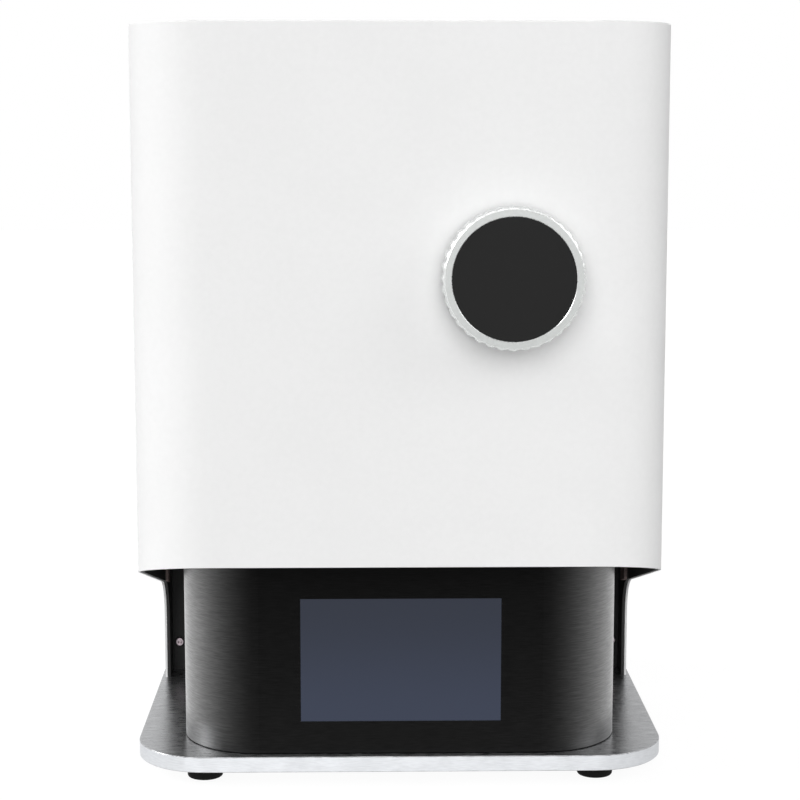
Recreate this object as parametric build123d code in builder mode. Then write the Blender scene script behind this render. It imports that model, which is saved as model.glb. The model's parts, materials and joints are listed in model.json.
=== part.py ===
from build123d import *
import os
from math import radians, tan

# A desktop resin printer. Millimetres; the floor is Z = 0, the front faces -Y,
# and X = Y = 0 is the middle of the footprint with the knob counted in.

# Overall size of the white shells
body_width = 280.0
body_depth = 280.0
body_top = 400.0
body_radius = 42.5
shell_wall = 1.2
liner_wall = 1.8
top_edge_round = 0.8
fit_gap = 0.3
screw_gap = 0.1
thread_gap = 0.05
running_gap = 0.05

# Door: a shell that carries the front, two side returns and the front of the top
seam_wall_gap = 40.4
door_front_edge = 123.0
edge_slope = 15.4
seam_gap = 2.4

# Rear housing: its legs stand on the base plate
leg_wall_step = 18.0
leg_fillet = 25.0
rib_width = 9.0
rib_depth = 9.0
boss_spread = 66.0
boss_width = 12.0
boss_depth = 14.0
boss_height = 22.0

# Base plate and rubber feet
plate_side_proud = 2.2
plate_radius = 38.0
plate_setback = 14.8
plate_tail = 1.5
plate_thickness = 8.4
plate_edge = 0.4
foot_radius = 9.6
foot_height = 9.0
foot_round = 1.6
foot_side_inset = 36.7
foot_inset = 23.7
foot_recess = 4.2
intake_length = 60.0
intake_width = 4.0
intake_pitch = 10.0
intake_count = 6

# Screws: shank radius, head radius and head height of each size
small_shank = 1.25
small_head = 2.3
small_head_height = 1.5
medium_shank = 1.5
medium_head = 2.7
medium_head_height = 2.0
large_shank = 2.0
large_head = 3.9
large_head_height = 2.6
socket_share = 0.5
screw_bite = 6.0

# Pod: the black lower shell that holds the screen and the light engine
pod_side_margin = 19.95
pod_setback = 20.3
pod_radius = 42.4
pod_wall = 2.0
pod_flange = 12.0
pod_flange_wall = 1.5

# Touch screen
screen_width = 105.9
screen_height = 66.1
screen_bottom = 35.3
screen_gap = 0.15
screen_recess = 0.1
display_width = 110.0
display_height = 70.0
display_depth = 6.0
ear_plate_width = 126.0
ear_plate_wall = 1.2
display_boss_x = 59.5
display_boss_z = 28.0
display_boss_radius = 3.0

# Deck on the pod, and the mask display that lies in it
deck_top = 150.0
deck_thickness = 4.0
deck_post_gap = 6.3
post_radius = 5.0
deck_post_front = 32.0
deck_post_rear = 16.0
mask_rim_x = 7.7
mask_rim_y = 5.7
mask_width = 195.4
mask_vat_inset = 11.3
mask_thickness = 2.0
mask_sunk = 0.2
mask_gap = 0.3

# Light engine under the deck
shroud_wall = 1.5
shroud_margin = 2.0
lamp_board_thickness = 1.6
lamp_radius = 5.0
lamp_pitch = 22.0
lens_plate_wall = 1.0
sink_base = 5.0
sink_fin_height = 18.0
sink_fin_wall = 2.0
sink_fin_pitch = 9.0
light_fan_lift = 9.0
fan_size = 80.0
fan_thickness = 15.0
fan_bore = 38.0
fan_corner = 5.0
fan_hub = 16.0
fan_blade_count = 7
fan_blade_width = 12.0
fan_blade_wall = 1.4
fan_blade_pitch = 38.0
fan_tip_gap = 1.0
fan_plate_wall = 2.0
fan_strut_width = 4.0

# Vat
vat_width = 206.0
vat_front_gap = 32.0
vat_rear_gap = 4.4
vat_height = 32.0
vat_radius = 14.0
vat_rim = 11.0
well_radius = 9.0
vat_edge = 1.2
lip_wall = 2.0
film_thickness = 0.3
film_lift = 0.2
film_side_gap = 0.1
film_margin = 1.0
ring_width = 6.0
ring_height = 3.0
ring_screw_head = 2.0
ring_screw_shank = 1.0
ring_screw_bite = 4.0
ear_reach = 12.0
ear_length = 26.0
ear_wall = 6.0
vat_knob_radius = 5.5
vat_knob_height = 12.0
vat_knob_flutes = 10

# Lift behind the inner rear wall
rear_bay = 91.6
rear_wall_thickness = 2.0
slot_side_gap = 1.0
slot_rise = 30.0
slot_top_gap = 14.0
wall_screw_inset = 6.0
wall_screw_steps = (35.0, 140.0, 270.0)
wall_screw_top_gap = 15.0
column_gap = 51.6
column_thickness = 12.0
column_half_width = 50.0
column_top_gap = 7.0
lift_base_top = 70.0
lift_base_thickness = 8.0
lift_base_left = 48.0
lift_base_right = 55.0
lift_base_gap = 17.6
lift_base_depth = 48.0
pillar_inset = 6.0
rail_x = -20.0
rail_width = 15.0
rail_height = 10.0
rail_start = 10.0
rail_end_gap = 2.0
carriage_width = 32.0
carriage_length = 58.8
carriage_height = 16.0
carriage_float = 4.0
screw_x = 20.0
lead_screw_gap = 41.6
screw_radius = 4.0
screw_end_gap = 2.0
motor_size = 42.3
motor_height = 40.0
motor_corner = 4.0
motor_boss_radius = 11.0
motor_boss_height = 2.0
top_block_width = 24.0
top_block_depth = 22.0
top_block_height = 10.0
nut_width = 24.0
nut_depth = 12.0
nut_height = 30.0
arm_half_width = 30.0
arm_wall = 8.0
arm_reach = 20.0
gusset_wall = 4.0
gusset_height = 20.0
gusset_reach = 60.0
arm_plate_below = 20.0
arm_plate_height = 62.0
arm_plate_half_width = 37.0
flag_wall = 1.5
flag_reach = 9.5
flag_height = 22.0
flag_depth = 10.0
flag_overlap = 8.0
sensor_width = 10.0
sensor_depth = 14.0
sensor_height = 12.0
sensor_slot = 4.0
sensor_rise = 36.0

# Build platform
lift_top_gap = 2.2
platform_clearance = 0.3
platform_side_gap = 4.0
platform_end_gap = 9.0
platform_thickness = 12.0
platform_edge = 1.0
platform_slope_height = 10.0
platform_slope_step = 4.0
stem_width = 50.0
stem_depth = 44.0
stem_height = 16.0
clamp_radius = 18.0
clamp_height = 16.0
clamp_shank = 4.0
clamp_bite = 12.0
clamp_flutes = 12

# Door hinges, hidden inside the shells
hinge_inset = 5.0
hinge_rise = 20.0
hinge_top_gap = 50.0
hinge_height = 30.0
knuckle_radius = 3.0
knuckle_gap = 0.3
pocket_gap = 0.4
pin_radius = 1.5
pin_head = 2.4
pin_head_height = 1.4
press_gap = 0.02
eye_height = 10.0
leaf_wall = 1.6
leaf_length = 28.0
leaf_screw_setback = 18.0
leaf_screw_spread = 9.0
leaf_screw_depth = 1.3
bracket_wall = 2.0
bracket_offset = 9.0
bracket_height = 24.0
bracket_screw_inset = 7.0
bracket_screw_spread = 7.0

# Knob, its spindle and the latch behind it
knob_x = 55.6
knob_z = 272.5
knob_reach = 20.0
knob_radius = 36.2
knob_lift = 3.5
knob_flutes = 36
flute_radius = 3.4
flute_depth = 1.3
knob_ring_radius = 34.4
knob_ring_height = 1.2
knob_ring_edge = 0.35
knob_face_radius = 30.9
knob_face_thickness = 1.3
knob_face_sunk = 0.2
knob_neck_radius = 20.0
spindle_radius = 5.0
spindle_socket = 10.0
bushing_radius = 8.0
bushing_flange = 12.0
bushing_flange_height = 1.5
bushing_length = 8.0
nut_flat_radius = 12.0
nut_wall = 4.0
latch_setback = 9.0
latch_wall = 3.0
latch_hub = 10.0
latch_tip = 5.0
latch_spigot = 4.0
keeper_wall = 2.0
keeper_width = 20.0
keeper_lip = 16.0
keeper_play = 1.5
keeper_foot = 9.0
keeper_floor_gap = 3.5

# Light seals inside the seam
seal_wall = 1.5
seal_width = 11.0
seal_front_gap = 1.0
seal_overlap = 3.0
seal_lip_start = -120.0

# Rear panel and what it carries
opening_side_gap = 9.5
opening_bottom = 50.0
opening_top_gap = 40.0
opening_radius = 8.0
panel_rim = 6.0
panel_wall = 1.5
panel_screw_rows = 4
exhaust_drop = 45.0
grille_hole = 2.4
grille_step = 7.6
grille_rings = 4
vent_length = 56.0
vent_width = 4.0
vent_pitch = 9.0
vent_rows = 9
vent_columns = 2
vent_column_pitch = 72.0
vent_drop = 110.0
inlet_side_gap = 18.0
inlet_z = 84.0
inlet_width = 27.5
inlet_height = 47.5
inlet_depth = 25.0
inlet_flange = 2.0
inlet_flange_rim = 2.5
socket_width = 24.0
socket_height = 17.0
socket_depth = 15.0
socket_drop = 12.0
contact_width = 2.0
contact_height = 4.0
contact_spread = 7.0
contact_rise = 3.0
rocker_width = 19.0
rocker_radius = 6.1
rocker_rise = 13.0
rocker_throw = 14.0
rocker_face = 2.4
rocker_gap = 0.4
rocker_pin_radius = 1.2
rocker_pin_length = 1.2
port_side_gap = 24.0
port_z = 72.0
port_depth = 16.0
usb_width = 14.0
usb_height = 7.0
usb_shell = 0.6
usb_tongue = 2.2
network_width = 16.0
network_height = 13.5
network_wall = 1.2
port_pitch = 24.0
port_proud = 0.5

# Boards behind the inner wall
board_side_gap = 12.0
board_slot_gap = 22.0
board_bottom = 200.0
board_top = 330.0
board_wall = 1.6
board_standoff = 6.0
board_standoff_radius = 3.0
board_corner = 5.0
chip_size = 20.0
chip_height = 2.5
header_width = 6.0
header_length = 64.0
header_height = 9.0
driver_size = 12.0
driver_pitch = 26.0
driver_count = 4
supply_base_gap = 7.0
supply_side_gap = 12.0
supply_bottom = 60.0
supply_top = 200.0
supply_depth = 37.0
supply_slot = 2.5
supply_slot_margin = 8.0
supply_slot_pitch = 8.0
supply_slot_count = 9
supply_slot_depth = 1.5

# Places that follow from the sizes
overall_depth = knob_reach + body_depth + plate_tail
face_y = knob_reach - overall_depth / 2
back_y = face_y + body_depth
side_x = body_width / 2
inner_x = side_x - shell_wall
inside_top = body_top - shell_wall
wall_y = back_y - rear_bay
wall_back_y = wall_y + rear_wall_thickness
seam_y = wall_y - seam_wall_gap
housing_y = seam_y + seam_gap
leg_y = wall_y - leg_wall_step
plate_width = body_width + 2 * plate_side_proud
plate_front_y = face_y + plate_setback
plate_back_y = back_y + plate_tail
plate_top = foot_height + plate_thickness
foot_spread = plate_width / 2 - foot_side_inset
pod_width = mask_width + 2 * pod_side_margin
pod_y = face_y + pod_setback
pod_inner_y = pod_y + pod_wall
deck_bottom = deck_top - deck_thickness
vat_depth = wall_y - vat_rear_gap - (face_y + vat_front_gap)
build_y = face_y + vat_front_gap + vat_depth / 2
mask_depth = vat_depth - 2 * mask_vat_inset
window_width = mask_width - 2 * mask_rim_x
window_depth = mask_depth - 2 * mask_rim_y
well_width = vat_width - 2 * vat_rim
well_depth = vat_depth - 2 * vat_rim
platform_width = well_width - 2 * platform_side_gap
platform_depth = well_depth - 2 * platform_end_gap
deck_post_x = mask_width / 2 + deck_post_gap
column_top = body_top - column_top_gap
slot_width = 2 * (arm_plate_half_width + slot_side_gap)
slot_bottom = deck_top + slot_rise
slot_top = body_top - slot_top_gap
wall_screw_x = inner_x - wall_screw_inset
wall_screw_heights = (*wall_screw_steps, body_top - wall_screw_top_gap)
sensor_bottom = deck_top + sensor_rise
hinge_x = hinge_inset - side_x
hinge_y = seam_y - hinge_inset
hinge_low = deck_top + hinge_rise
hinge_heights = (hinge_low, body_top - hinge_top_gap)
bracket_screw_x = inner_x - bracket_screw_inset
opening_width = body_width - 2 * (body_radius + opening_side_gap)
opening_top = body_top - opening_top_gap
exhaust_z = opening_top - exhaust_drop
vent_z = exhaust_z - vent_drop
inlet_x = opening_width / 2 - inlet_side_gap
port_x = port_side_gap - opening_width / 2
board_left = board_side_gap - inner_x
board_right = -slot_width / 2 - board_slot_gap
supply_left = lift_base_right + supply_base_gap
supply_right = inner_x - supply_side_gap
supply_slot_length = supply_right - supply_left - 2 * supply_slot_margin
margin = body_radius


def edge_height(y):
    """Height of the shells' sloping lower edge at depth y"""
    return door_front_edge - tan(radians(edge_slope)) * (y - face_y)


def block(x_span, y_span, z_span, mode=Mode.ADD):
    """A box between two limits on each axis"""
    with Locations((x_span[0], y_span[0], z_span[0])):
        Box(x_span[1] - x_span[0], y_span[1] - y_span[0], z_span[1] - z_span[0],
            align=(Align.MIN, Align.MIN, Align.MIN), mode=mode)


def plan_block(width, front, back, bottom, top, radius, rounded="all", mode=Mode.ADD):
    """An upright block, centred on X = 0, whose plan has rounded corners on the named side"""
    with BuildSketch(Plane.XY.offset(bottom)) as plan:
        with Locations((0, (front + back) / 2)):
            Rectangle(width, back - front)
        corners = {
            "all": plan.vertices(),
            "front": plan.vertices().group_by(Axis.Y)[0],
            "back": plan.vertices().group_by(Axis.Y)[-1],
        }
        fillet(corners[rounded], radius)
    extrude(plan.sketch, amount=top - bottom, mode=mode)


def facing_front(x, y, z):
    """A plane at a point, looking at the front: local x is X, local y is Z"""
    return Plane(origin=(x, y, z), x_dir=(1, 0, 0), z_dir=(0, -1, 0))


def facing_back(x, y, z):
    """A plane at a point, looking at the back: local x is -X, local y is Z"""
    return Plane(origin=(x, y, z), x_dir=(-1, 0, 0), z_dir=(0, 1, 0))


def facing_down(x, y, z):
    """A plane at a point, looking at the floor"""
    return Plane(origin=(x, y, z), x_dir=(1, 0, 0), z_dir=(0, 0, -1))


def facing_up(x, y, z):
    """A plane at a point, looking up"""
    return Plane(origin=(x, y, z))


def facing_right(x, y, z):
    """A plane at a point, looking along +X: local x is Y, local y is Z"""
    return Plane(origin=(x, y, z), x_dir=(0, 1, 0), z_dir=(1, 0, 0))


def pan_screw(shank, head, head_height, length):
    """A pan-head screw; its head stands on the plane and its shank goes below it"""
    Cylinder(head, head_height, align=(Align.CENTER, Align.CENTER, Align.MIN))
    Cylinder(shank, length, align=(Align.CENTER, Align.CENTER, Align.MAX))
    with Locations((0, 0, head_height)):
        Cylinder(shank * socket_share, head_height * socket_share,
                 align=(Align.CENTER, Align.CENTER, Align.MAX), mode=Mode.SUBTRACT)


def flat_screw(shank, head, length):
    """A countersunk screw; its head is flush with the plane and its shank goes below it"""
    Cone(shank, head, head - shank, align=(Align.CENTER, Align.CENTER, Align.MAX))
    Cylinder(shank, length, align=(Align.CENTER, Align.CENTER, Align.MAX))
    Cylinder(shank * socket_share, (head - shank) * socket_share,
             align=(Align.CENTER, Align.CENTER, Align.MAX), mode=Mode.SUBTRACT)


def drill(radius, depth):
    """A round hole below the plane"""
    Cylinder(radius, depth, align=(Align.CENTER, Align.CENTER, Align.MAX), mode=Mode.SUBTRACT)


def side_cut(points, corner=None, radius=0.0):
    """Keep only what lies inside a side profile, given as depth and height"""
    with BuildSketch(Plane.YZ) as profile:
        with BuildLine():
            Polyline(*points, close=True)
        make_face()
        if corner:
            fillet(profile.vertices().sort_by_distance(corner)[0], radius)
    extrude(profile.sketch, amount=body_width, both=True, mode=Mode.INTERSECT)


def fan_frame(place):
    """A square fan frame standing on a plane, with its four struts and motor plate"""
    with BuildSketch(place) as outline:
        RectangleRounded(fan_size, fan_size, fan_corner)
    extrude(outline.sketch, amount=fan_thickness)
    with BuildSketch(place.offset(fan_plate_wall)) as bore:
        Circle(fan_bore)
    extrude(bore.sketch, amount=fan_thickness - fan_plate_wall, mode=Mode.SUBTRACT)
    with BuildSketch(place) as gaps:
        Circle(fan_bore)
        Circle(fan_hub, mode=Mode.SUBTRACT)
        Rectangle(2 * fan_bore, fan_strut_width, mode=Mode.SUBTRACT)
        Rectangle(fan_strut_width, 2 * fan_bore, mode=Mode.SUBTRACT)
        with GridLocations(fan_size - 2 * fan_corner, fan_size - 2 * fan_corner, 2, 2):
            Circle(large_shank + screw_gap)
    extrude(gaps.sketch, amount=fan_thickness, mode=Mode.SUBTRACT)


def fan_rotor(place):
    """The hub and blades that turn inside the frame"""
    blade_length = fan_bore - fan_tip_gap - fan_hub + fan_blade_wall
    with BuildPart() as rotor:
        with Locations(place.offset(fan_plate_wall + fit_gap)):
            Cylinder(fan_hub, fan_thickness - fan_plate_wall - 2 * fit_gap,
                     align=(Align.CENTER, Align.CENTER, Align.MIN))
        with Locations(place.offset((fan_thickness + fan_plate_wall) / 2)):
            with PolarLocations(fan_hub - fan_blade_wall + blade_length / 2, fan_blade_count):
                Box(blade_length, fan_blade_width, fan_blade_wall,
                    rotation=(fan_blade_pitch, 0, 0))
        with Locations(place.offset(fan_thickness / 2)):
            Cylinder(fan_bore - fan_tip_gap, fan_thickness, mode=Mode.INTERSECT)
    return rotor.part


# Base plate: rounded aluminium plate with countersunk holes and air slots underneath
foot_front_y = plate_front_y + foot_inset
foot_back_y = plate_back_y - foot_inset
foot_places = [(x, y) for x in (-foot_spread, foot_spread) for y in (foot_front_y, foot_back_y)]
post_places = [(x, y) for x in (-deck_post_x, deck_post_x)
               for y in (pod_y + deck_post_front, wall_y - deck_post_rear)]
column_y = wall_y + column_gap
lift_base_y = wall_y + lift_base_gap
pillar_places = [(x, y) for x in (pillar_inset - lift_base_left, lift_base_right - pillar_inset)
                 for y in (lift_base_y + pillar_inset, lift_base_y + lift_base_depth - pillar_inset)]
rib_x = inner_x - rib_width / 2
rib_y = wall_back_y + rib_depth / 2
boss_y = back_y - shell_wall - boss_depth / 2
housing_foot_places = [(-rib_x, rib_y), (rib_x, rib_y), (-boss_spread, boss_y), (boss_spread, boss_y)]
base_screw_places = post_places + pillar_places + housing_foot_places

with BuildPart() as base_plate:
    plan_block(plate_width, plate_front_y, plate_back_y, foot_height, plate_top, plate_radius)
    chamfer(base_plate.faces().filter_by(Axis.Z).edges(), plate_edge)
    with BuildSketch(Plane.XY.offset(plate_top)):
        with Locations((0, build_y)):
            with GridLocations(intake_pitch, intake_pitch, 1, intake_count):
                SlotOverall(intake_length, intake_width)
    extrude(amount=-plate_thickness, mode=Mode.SUBTRACT)
    with Locations(*[facing_down(x, y, foot_height) for x, y in foot_places]):
        drill(large_shank + thread_gap, screw_bite + fit_gap)
    with Locations(*[facing_down(x, y, foot_height) for x, y in base_screw_places]):
        CounterSinkHole(large_shank + screw_gap, large_head + screw_gap, plate_thickness, 90)

with BuildPart() as rubber_feet:
    with Locations(*foot_places):
        Cylinder(foot_radius, foot_height, align=(Align.CENTER, Align.CENTER, Align.MIN))
    fillet(rubber_feet.edges().group_by(Axis.Z)[0], foot_round)
    with Locations(*[facing_down(x, y, 0) for x, y in foot_places]):
        CounterBoreHole(large_shank + screw_gap, large_head + screw_gap, foot_recess, foot_height)

with BuildPart() as foot_screws:
    with Locations(*[facing_down(x, y, foot_recess) for x, y in foot_places]):
        pan_screw(large_shank, large_head, large_head_height, foot_height - foot_recess + screw_bite)

with BuildPart() as large_flat_screws:
    with Locations(*[facing_down(x, y, foot_height) for x, y in base_screw_places]):
        flat_screw(large_shank, large_head, plate_thickness + screw_bite)
    with Locations(*[facing_up(x, y, deck_top) for x, y in post_places]):
        flat_screw(large_shank, large_head, deck_thickness + screw_bite)

# Pod shell: folded sheet round the front and sides, with a flange against the rear wall
pod_inner_x = pod_width / 2 - pod_wall
screen_z = screen_bottom + screen_height / 2
boss_places = [(x, z) for x in (-display_boss_x, display_boss_x)
               for z in (screen_z - display_boss_z, screen_z + display_boss_z)]

with BuildPart() as pod_shell:
    plan_block(pod_width, pod_y, wall_y, plate_top, deck_bottom, pod_radius, rounded="front")
    plan_block(2 * pod_inner_x, pod_inner_y, wall_y - pod_flange_wall, plate_top, deck_bottom,
               pod_radius - pod_wall, rounded="front", mode=Mode.SUBTRACT)
    block((pod_flange - pod_inner_x, pod_inner_x - pod_flange), (wall_y - pod_flange_wall, wall_y),
          (plate_top, deck_bottom), mode=Mode.SUBTRACT)
    with Locations(facing_front(0, pod_inner_y, screen_z)):
        Box(screen_width + 2 * screen_gap, screen_height + 2 * screen_gap, pod_wall,
            align=(Align.CENTER, Align.CENTER, Align.MIN), mode=Mode.SUBTRACT)
    with Locations(*[facing_back(x, pod_inner_y, z) for x, z in boss_places]):
        Cylinder(display_boss_radius, display_depth, align=(Align.CENTER, Align.CENTER, Align.MIN))
    with Locations(*[facing_back(x, pod_inner_y + display_depth, z) for x, z in boss_places]):
        drill(small_shank + thread_gap, display_depth)

with BuildPart() as touch_glass:
    block((-screen_width / 2, screen_width / 2), (pod_y + screen_recess, pod_inner_y),
          (screen_bottom, screen_bottom + screen_height))

ear_y = pod_inner_y + display_depth
with BuildPart() as display_module:
    with Locations((0, pod_inner_y + display_depth / 2, screen_z)):
        Box(display_width, display_depth, display_height)
    with Locations((0, ear_y + ear_plate_wall / 2, screen_z)):
        Box(ear_plate_width, ear_plate_wall, display_height)
    with Locations(*[facing_back(x, ear_y + ear_plate_wall, z) for x, z in boss_places]):
        drill(small_shank + screw_gap, ear_plate_wall)

# Deck: closes the pod, carries the vat, and holds the mask display over the lamps; it stands
# on four of the posts, and the lift's base block stands on the other four
mask_floor = deck_top - mask_sunk - mask_thickness
film_bottom = deck_top + film_lift
film_top = film_bottom + film_thickness
lip_width = well_width + 2 * lip_wall
lip_depth = well_depth + 2 * lip_wall
film_outer_width = lip_width + 2 * (film_side_gap + film_thickness)
film_outer_depth = lip_depth + 2 * (film_side_gap + film_thickness)
ring_inner_width = film_outer_width + 2 * film_side_gap
ring_inner_depth = film_outer_depth + 2 * film_side_gap
ring_outer_width = ring_inner_width + 2 * ring_width
ring_outer_depth = ring_inner_depth + 2 * ring_width
clamp_plane = deck_top + ring_height + film_thickness
vat_knob_x = vat_width / 2 + ear_reach / 2
vat_knob_places = [-vat_knob_x, vat_knob_x]
keeper_front_y = face_y + latch_setback - keeper_play - keeper_wall
keeper_screw_y = pod_y + keeper_foot / 2
keeper_screw_places = [(knob_x + step, keeper_screw_y) for step in (-keeper_width / 4, keeper_width / 4)]

with BuildPart() as deck_plate:
    plan_block(pod_width, pod_y, wall_y, deck_bottom, deck_top, pod_radius, rounded="front")
    block((-window_width / 2, window_width / 2),
          (build_y - window_depth / 2, build_y + window_depth / 2), (deck_bottom, deck_top),
          mode=Mode.SUBTRACT)
    mask_half_width = mask_width / 2 + mask_gap
    mask_half_depth = mask_depth / 2 + mask_gap
    block((-mask_half_width, mask_half_width), (build_y - mask_half_depth, build_y + mask_half_depth),
          (mask_floor, deck_top), mode=Mode.SUBTRACT)
    with Locations(*[facing_up(x, y, deck_top) for x, y in post_places]):
        CounterSinkHole(large_shank + screw_gap, large_head + screw_gap, deck_thickness, 90)
    with Locations(*[facing_up(x, build_y, deck_top) for x in vat_knob_places]):
        drill(large_shank + thread_gap, deck_thickness)
    with Locations(*[facing_up(x, y, deck_top) for x, y in keeper_screw_places]):
        drill(medium_shank + thread_gap, deck_thickness)

lift_base_bottom = lift_base_top - lift_base_thickness
with BuildPart() as support_posts:
    with Locations(*[facing_up(x, y, plate_top) for x, y in post_places]):
        Cylinder(post_radius, deck_bottom - plate_top, align=(Align.CENTER, Align.CENTER, Align.MIN))
    with Locations(*[facing_up(x, y, plate_top) for x, y in pillar_places]):
        Cylinder(post_radius, lift_base_bottom - plate_top,
                 align=(Align.CENTER, Align.CENTER, Align.MIN))
    with Locations(*[facing_up(x, y, deck_bottom) for x, y in post_places]):
        drill(large_shank + thread_gap, screw_bite + fit_gap)
    with Locations(*[facing_down(x, y, plate_top) for x, y in post_places + pillar_places]):
        drill(large_shank + thread_gap, screw_bite + fit_gap)

with BuildPart() as mask_display:
    with Locations((0, build_y, mask_floor)):
        Box(mask_width, mask_depth, mask_thickness, align=(Align.CENTER, Align.CENTER, Align.MIN))

# Light engine: fan, heat sink, lamp board with lenses, and the shroud up to the deck
light_fan_bottom = plate_top + light_fan_lift
sink_bottom = light_fan_bottom + fan_thickness
sink_top = sink_bottom + sink_fin_height + sink_base
board_surface = sink_top + lamp_board_thickness
shroud_width = window_width + 2 * (shroud_margin + shroud_wall)
shroud_depth = window_depth + 2 * (shroud_margin + shroud_wall)
sink_fin_count = int(shroud_width // sink_fin_pitch)

with BuildPart() as light_shroud:
    with Locations((0, build_y, board_surface)):
        Box(shroud_width, shroud_depth, deck_bottom - board_surface,
            align=(Align.CENTER, Align.CENTER, Align.MIN))
        Box(shroud_width - 2 * shroud_wall, shroud_depth - 2 * shroud_wall,
            deck_bottom - board_surface, align=(Align.CENTER, Align.CENTER, Align.MIN),
            mode=Mode.SUBTRACT)

with BuildPart() as lamp_board:
    with Locations((0, build_y, sink_top)):
        Box(shroud_width, shroud_depth, lamp_board_thickness,
            align=(Align.CENTER, Align.CENTER, Align.MIN))

lens_top = board_surface + lens_plate_wall + lamp_radius
lamp_columns = int(window_width // lamp_pitch)
lamp_rows = int(window_depth // lamp_pitch)
lens_width = lamp_columns * lamp_pitch
lens_depth = lamp_rows * lamp_pitch
with BuildPart() as lens_plate:
    with Locations((0, build_y, board_surface + lens_plate_wall)):
        with GridLocations(lamp_pitch, lamp_pitch, lamp_columns, lamp_rows):
            Sphere(lamp_radius)
    block((-lens_width / 2, lens_width / 2), (build_y - lens_depth / 2, build_y + lens_depth / 2),
          (board_surface + lens_plate_wall, lens_top), mode=Mode.INTERSECT)
    block((-lens_width / 2, lens_width / 2), (build_y - lens_depth / 2, build_y + lens_depth / 2),
          (board_surface, board_surface + lens_plate_wall))

with BuildPart() as heat_sink:
    with Locations((0, build_y, sink_top)):
        Box(shroud_width, shroud_depth, sink_base, align=(Align.CENTER, Align.CENTER, Align.MAX))
    with Locations((0, build_y, sink_bottom)):
        with GridLocations(sink_fin_pitch, shroud_depth, sink_fin_count, 1):
            Box(sink_fin_wall, shroud_depth, sink_fin_height,
                align=(Align.CENTER, Align.CENTER, Align.MIN))

light_fan_place = facing_up(0, build_y, light_fan_bottom)
light_fan_rotor = fan_rotor(light_fan_place)

# Vat: frame with a well, a film drawn under its lip, and the ring that clamps the film
ring_line_x = (ring_inner_width + ring_width) / 2
ring_line_y = (ring_inner_depth + ring_width) / 2
ring_step_x = ring_line_x / 3
ring_step_y = ring_line_y / 2
ring_screw_places = [(column * ring_step_x, build_y + side * ring_line_y)
                     for column in (-2, -1, 0, 1, 2) for side in (-1, 1)]
ring_screw_places += [(side * ring_line_x, build_y + row * ring_step_y)
                      for row in (-1, 0, 1) for side in (-1, 1)]

with BuildPart() as vat_frame:
    with BuildSketch(Plane.XY.offset(deck_top)):
        with Locations((0, build_y)):
            RectangleRounded(vat_width, vat_depth, vat_radius)
    extrude(amount=vat_height)
    chamfer(vat_frame.faces().sort_by(Axis.Z)[-1].edges(), vat_edge)
    with BuildSketch(Plane.XY.offset(clamp_plane)):
        with Locations((0, build_y)):
            Rectangle(vat_width + 2 * ear_reach, ear_length)
            Rectangle(vat_width - ear_reach, ear_length, mode=Mode.SUBTRACT)
    extrude(amount=ear_wall)
    with BuildSketch(Plane.XY.offset(deck_top)):
        with Locations((0, build_y)):
            RectangleRounded(well_width, well_depth, well_radius)
    extrude(amount=vat_height, mode=Mode.SUBTRACT)
    with BuildSketch(Plane.XY.offset(deck_top)):
        with Locations((0, build_y)):
            Rectangle(ring_outer_width + 2 * fit_gap, ring_outer_depth + 2 * fit_gap)
            RectangleRounded(lip_width, lip_depth, well_radius + lip_wall, mode=Mode.SUBTRACT)
    extrude(amount=ring_height + film_thickness, mode=Mode.SUBTRACT)
    block((-lip_width / 2, lip_width / 2), (build_y - lip_depth / 2, build_y + lip_depth / 2),
          (deck_top, film_top), mode=Mode.SUBTRACT)
    with Locations(*[facing_up(x, build_y, clamp_plane + ear_wall) for x in vat_knob_places]):
        drill(large_shank + fit_gap, ear_wall)
    with Locations(*[facing_down(x, y, clamp_plane) for x, y in ring_screw_places]):
        drill(ring_screw_shank + thread_gap, ring_screw_bite)

with BuildPart() as vat_film:
    with BuildSketch(Plane.XY.offset(film_bottom)):
        with Locations((0, build_y)):
            RectangleRounded(film_outer_width, film_outer_depth,
                             well_radius + lip_wall + film_side_gap + film_thickness)
    extrude(amount=clamp_plane - film_bottom)
    with BuildSketch(Plane.XY.offset(clamp_plane - film_thickness)):
        with Locations((0, build_y)):
            Rectangle(ring_outer_width - film_margin, ring_outer_depth - film_margin)
    extrude(amount=film_thickness)
    with BuildSketch(Plane.XY.offset(film_top)):
        with Locations((0, build_y)):
            RectangleRounded(lip_width + 2 * film_side_gap, lip_depth + 2 * film_side_gap,
                             well_radius + lip_wall + film_side_gap)
    extrude(amount=clamp_plane - film_top, mode=Mode.SUBTRACT)
    with Locations(*[facing_up(x, y, clamp_plane) for x, y in ring_screw_places]):
        drill(ring_screw_shank + screw_gap, film_thickness)

with BuildPart() as film_ring:
    with BuildSketch(Plane.XY.offset(deck_top)):
        with Locations((0, build_y)):
            Rectangle(ring_outer_width, ring_outer_depth)
            RectangleRounded(ring_inner_width, ring_inner_depth,
                             well_radius + lip_wall + 2 * film_side_gap + film_thickness,
                             mode=Mode.SUBTRACT)
    extrude(amount=ring_height)
    with Locations(*[facing_down(x, y, deck_top) for x, y in ring_screw_places]):
        CounterSinkHole(ring_screw_shank + screw_gap, ring_screw_head + screw_gap, ring_height, 90)

with BuildPart() as ring_screws:
    with Locations(*[facing_down(x, y, deck_top) for x, y in ring_screw_places]):
        flat_screw(ring_screw_shank, ring_screw_head, ring_height + film_thickness + ring_screw_bite)


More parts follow.
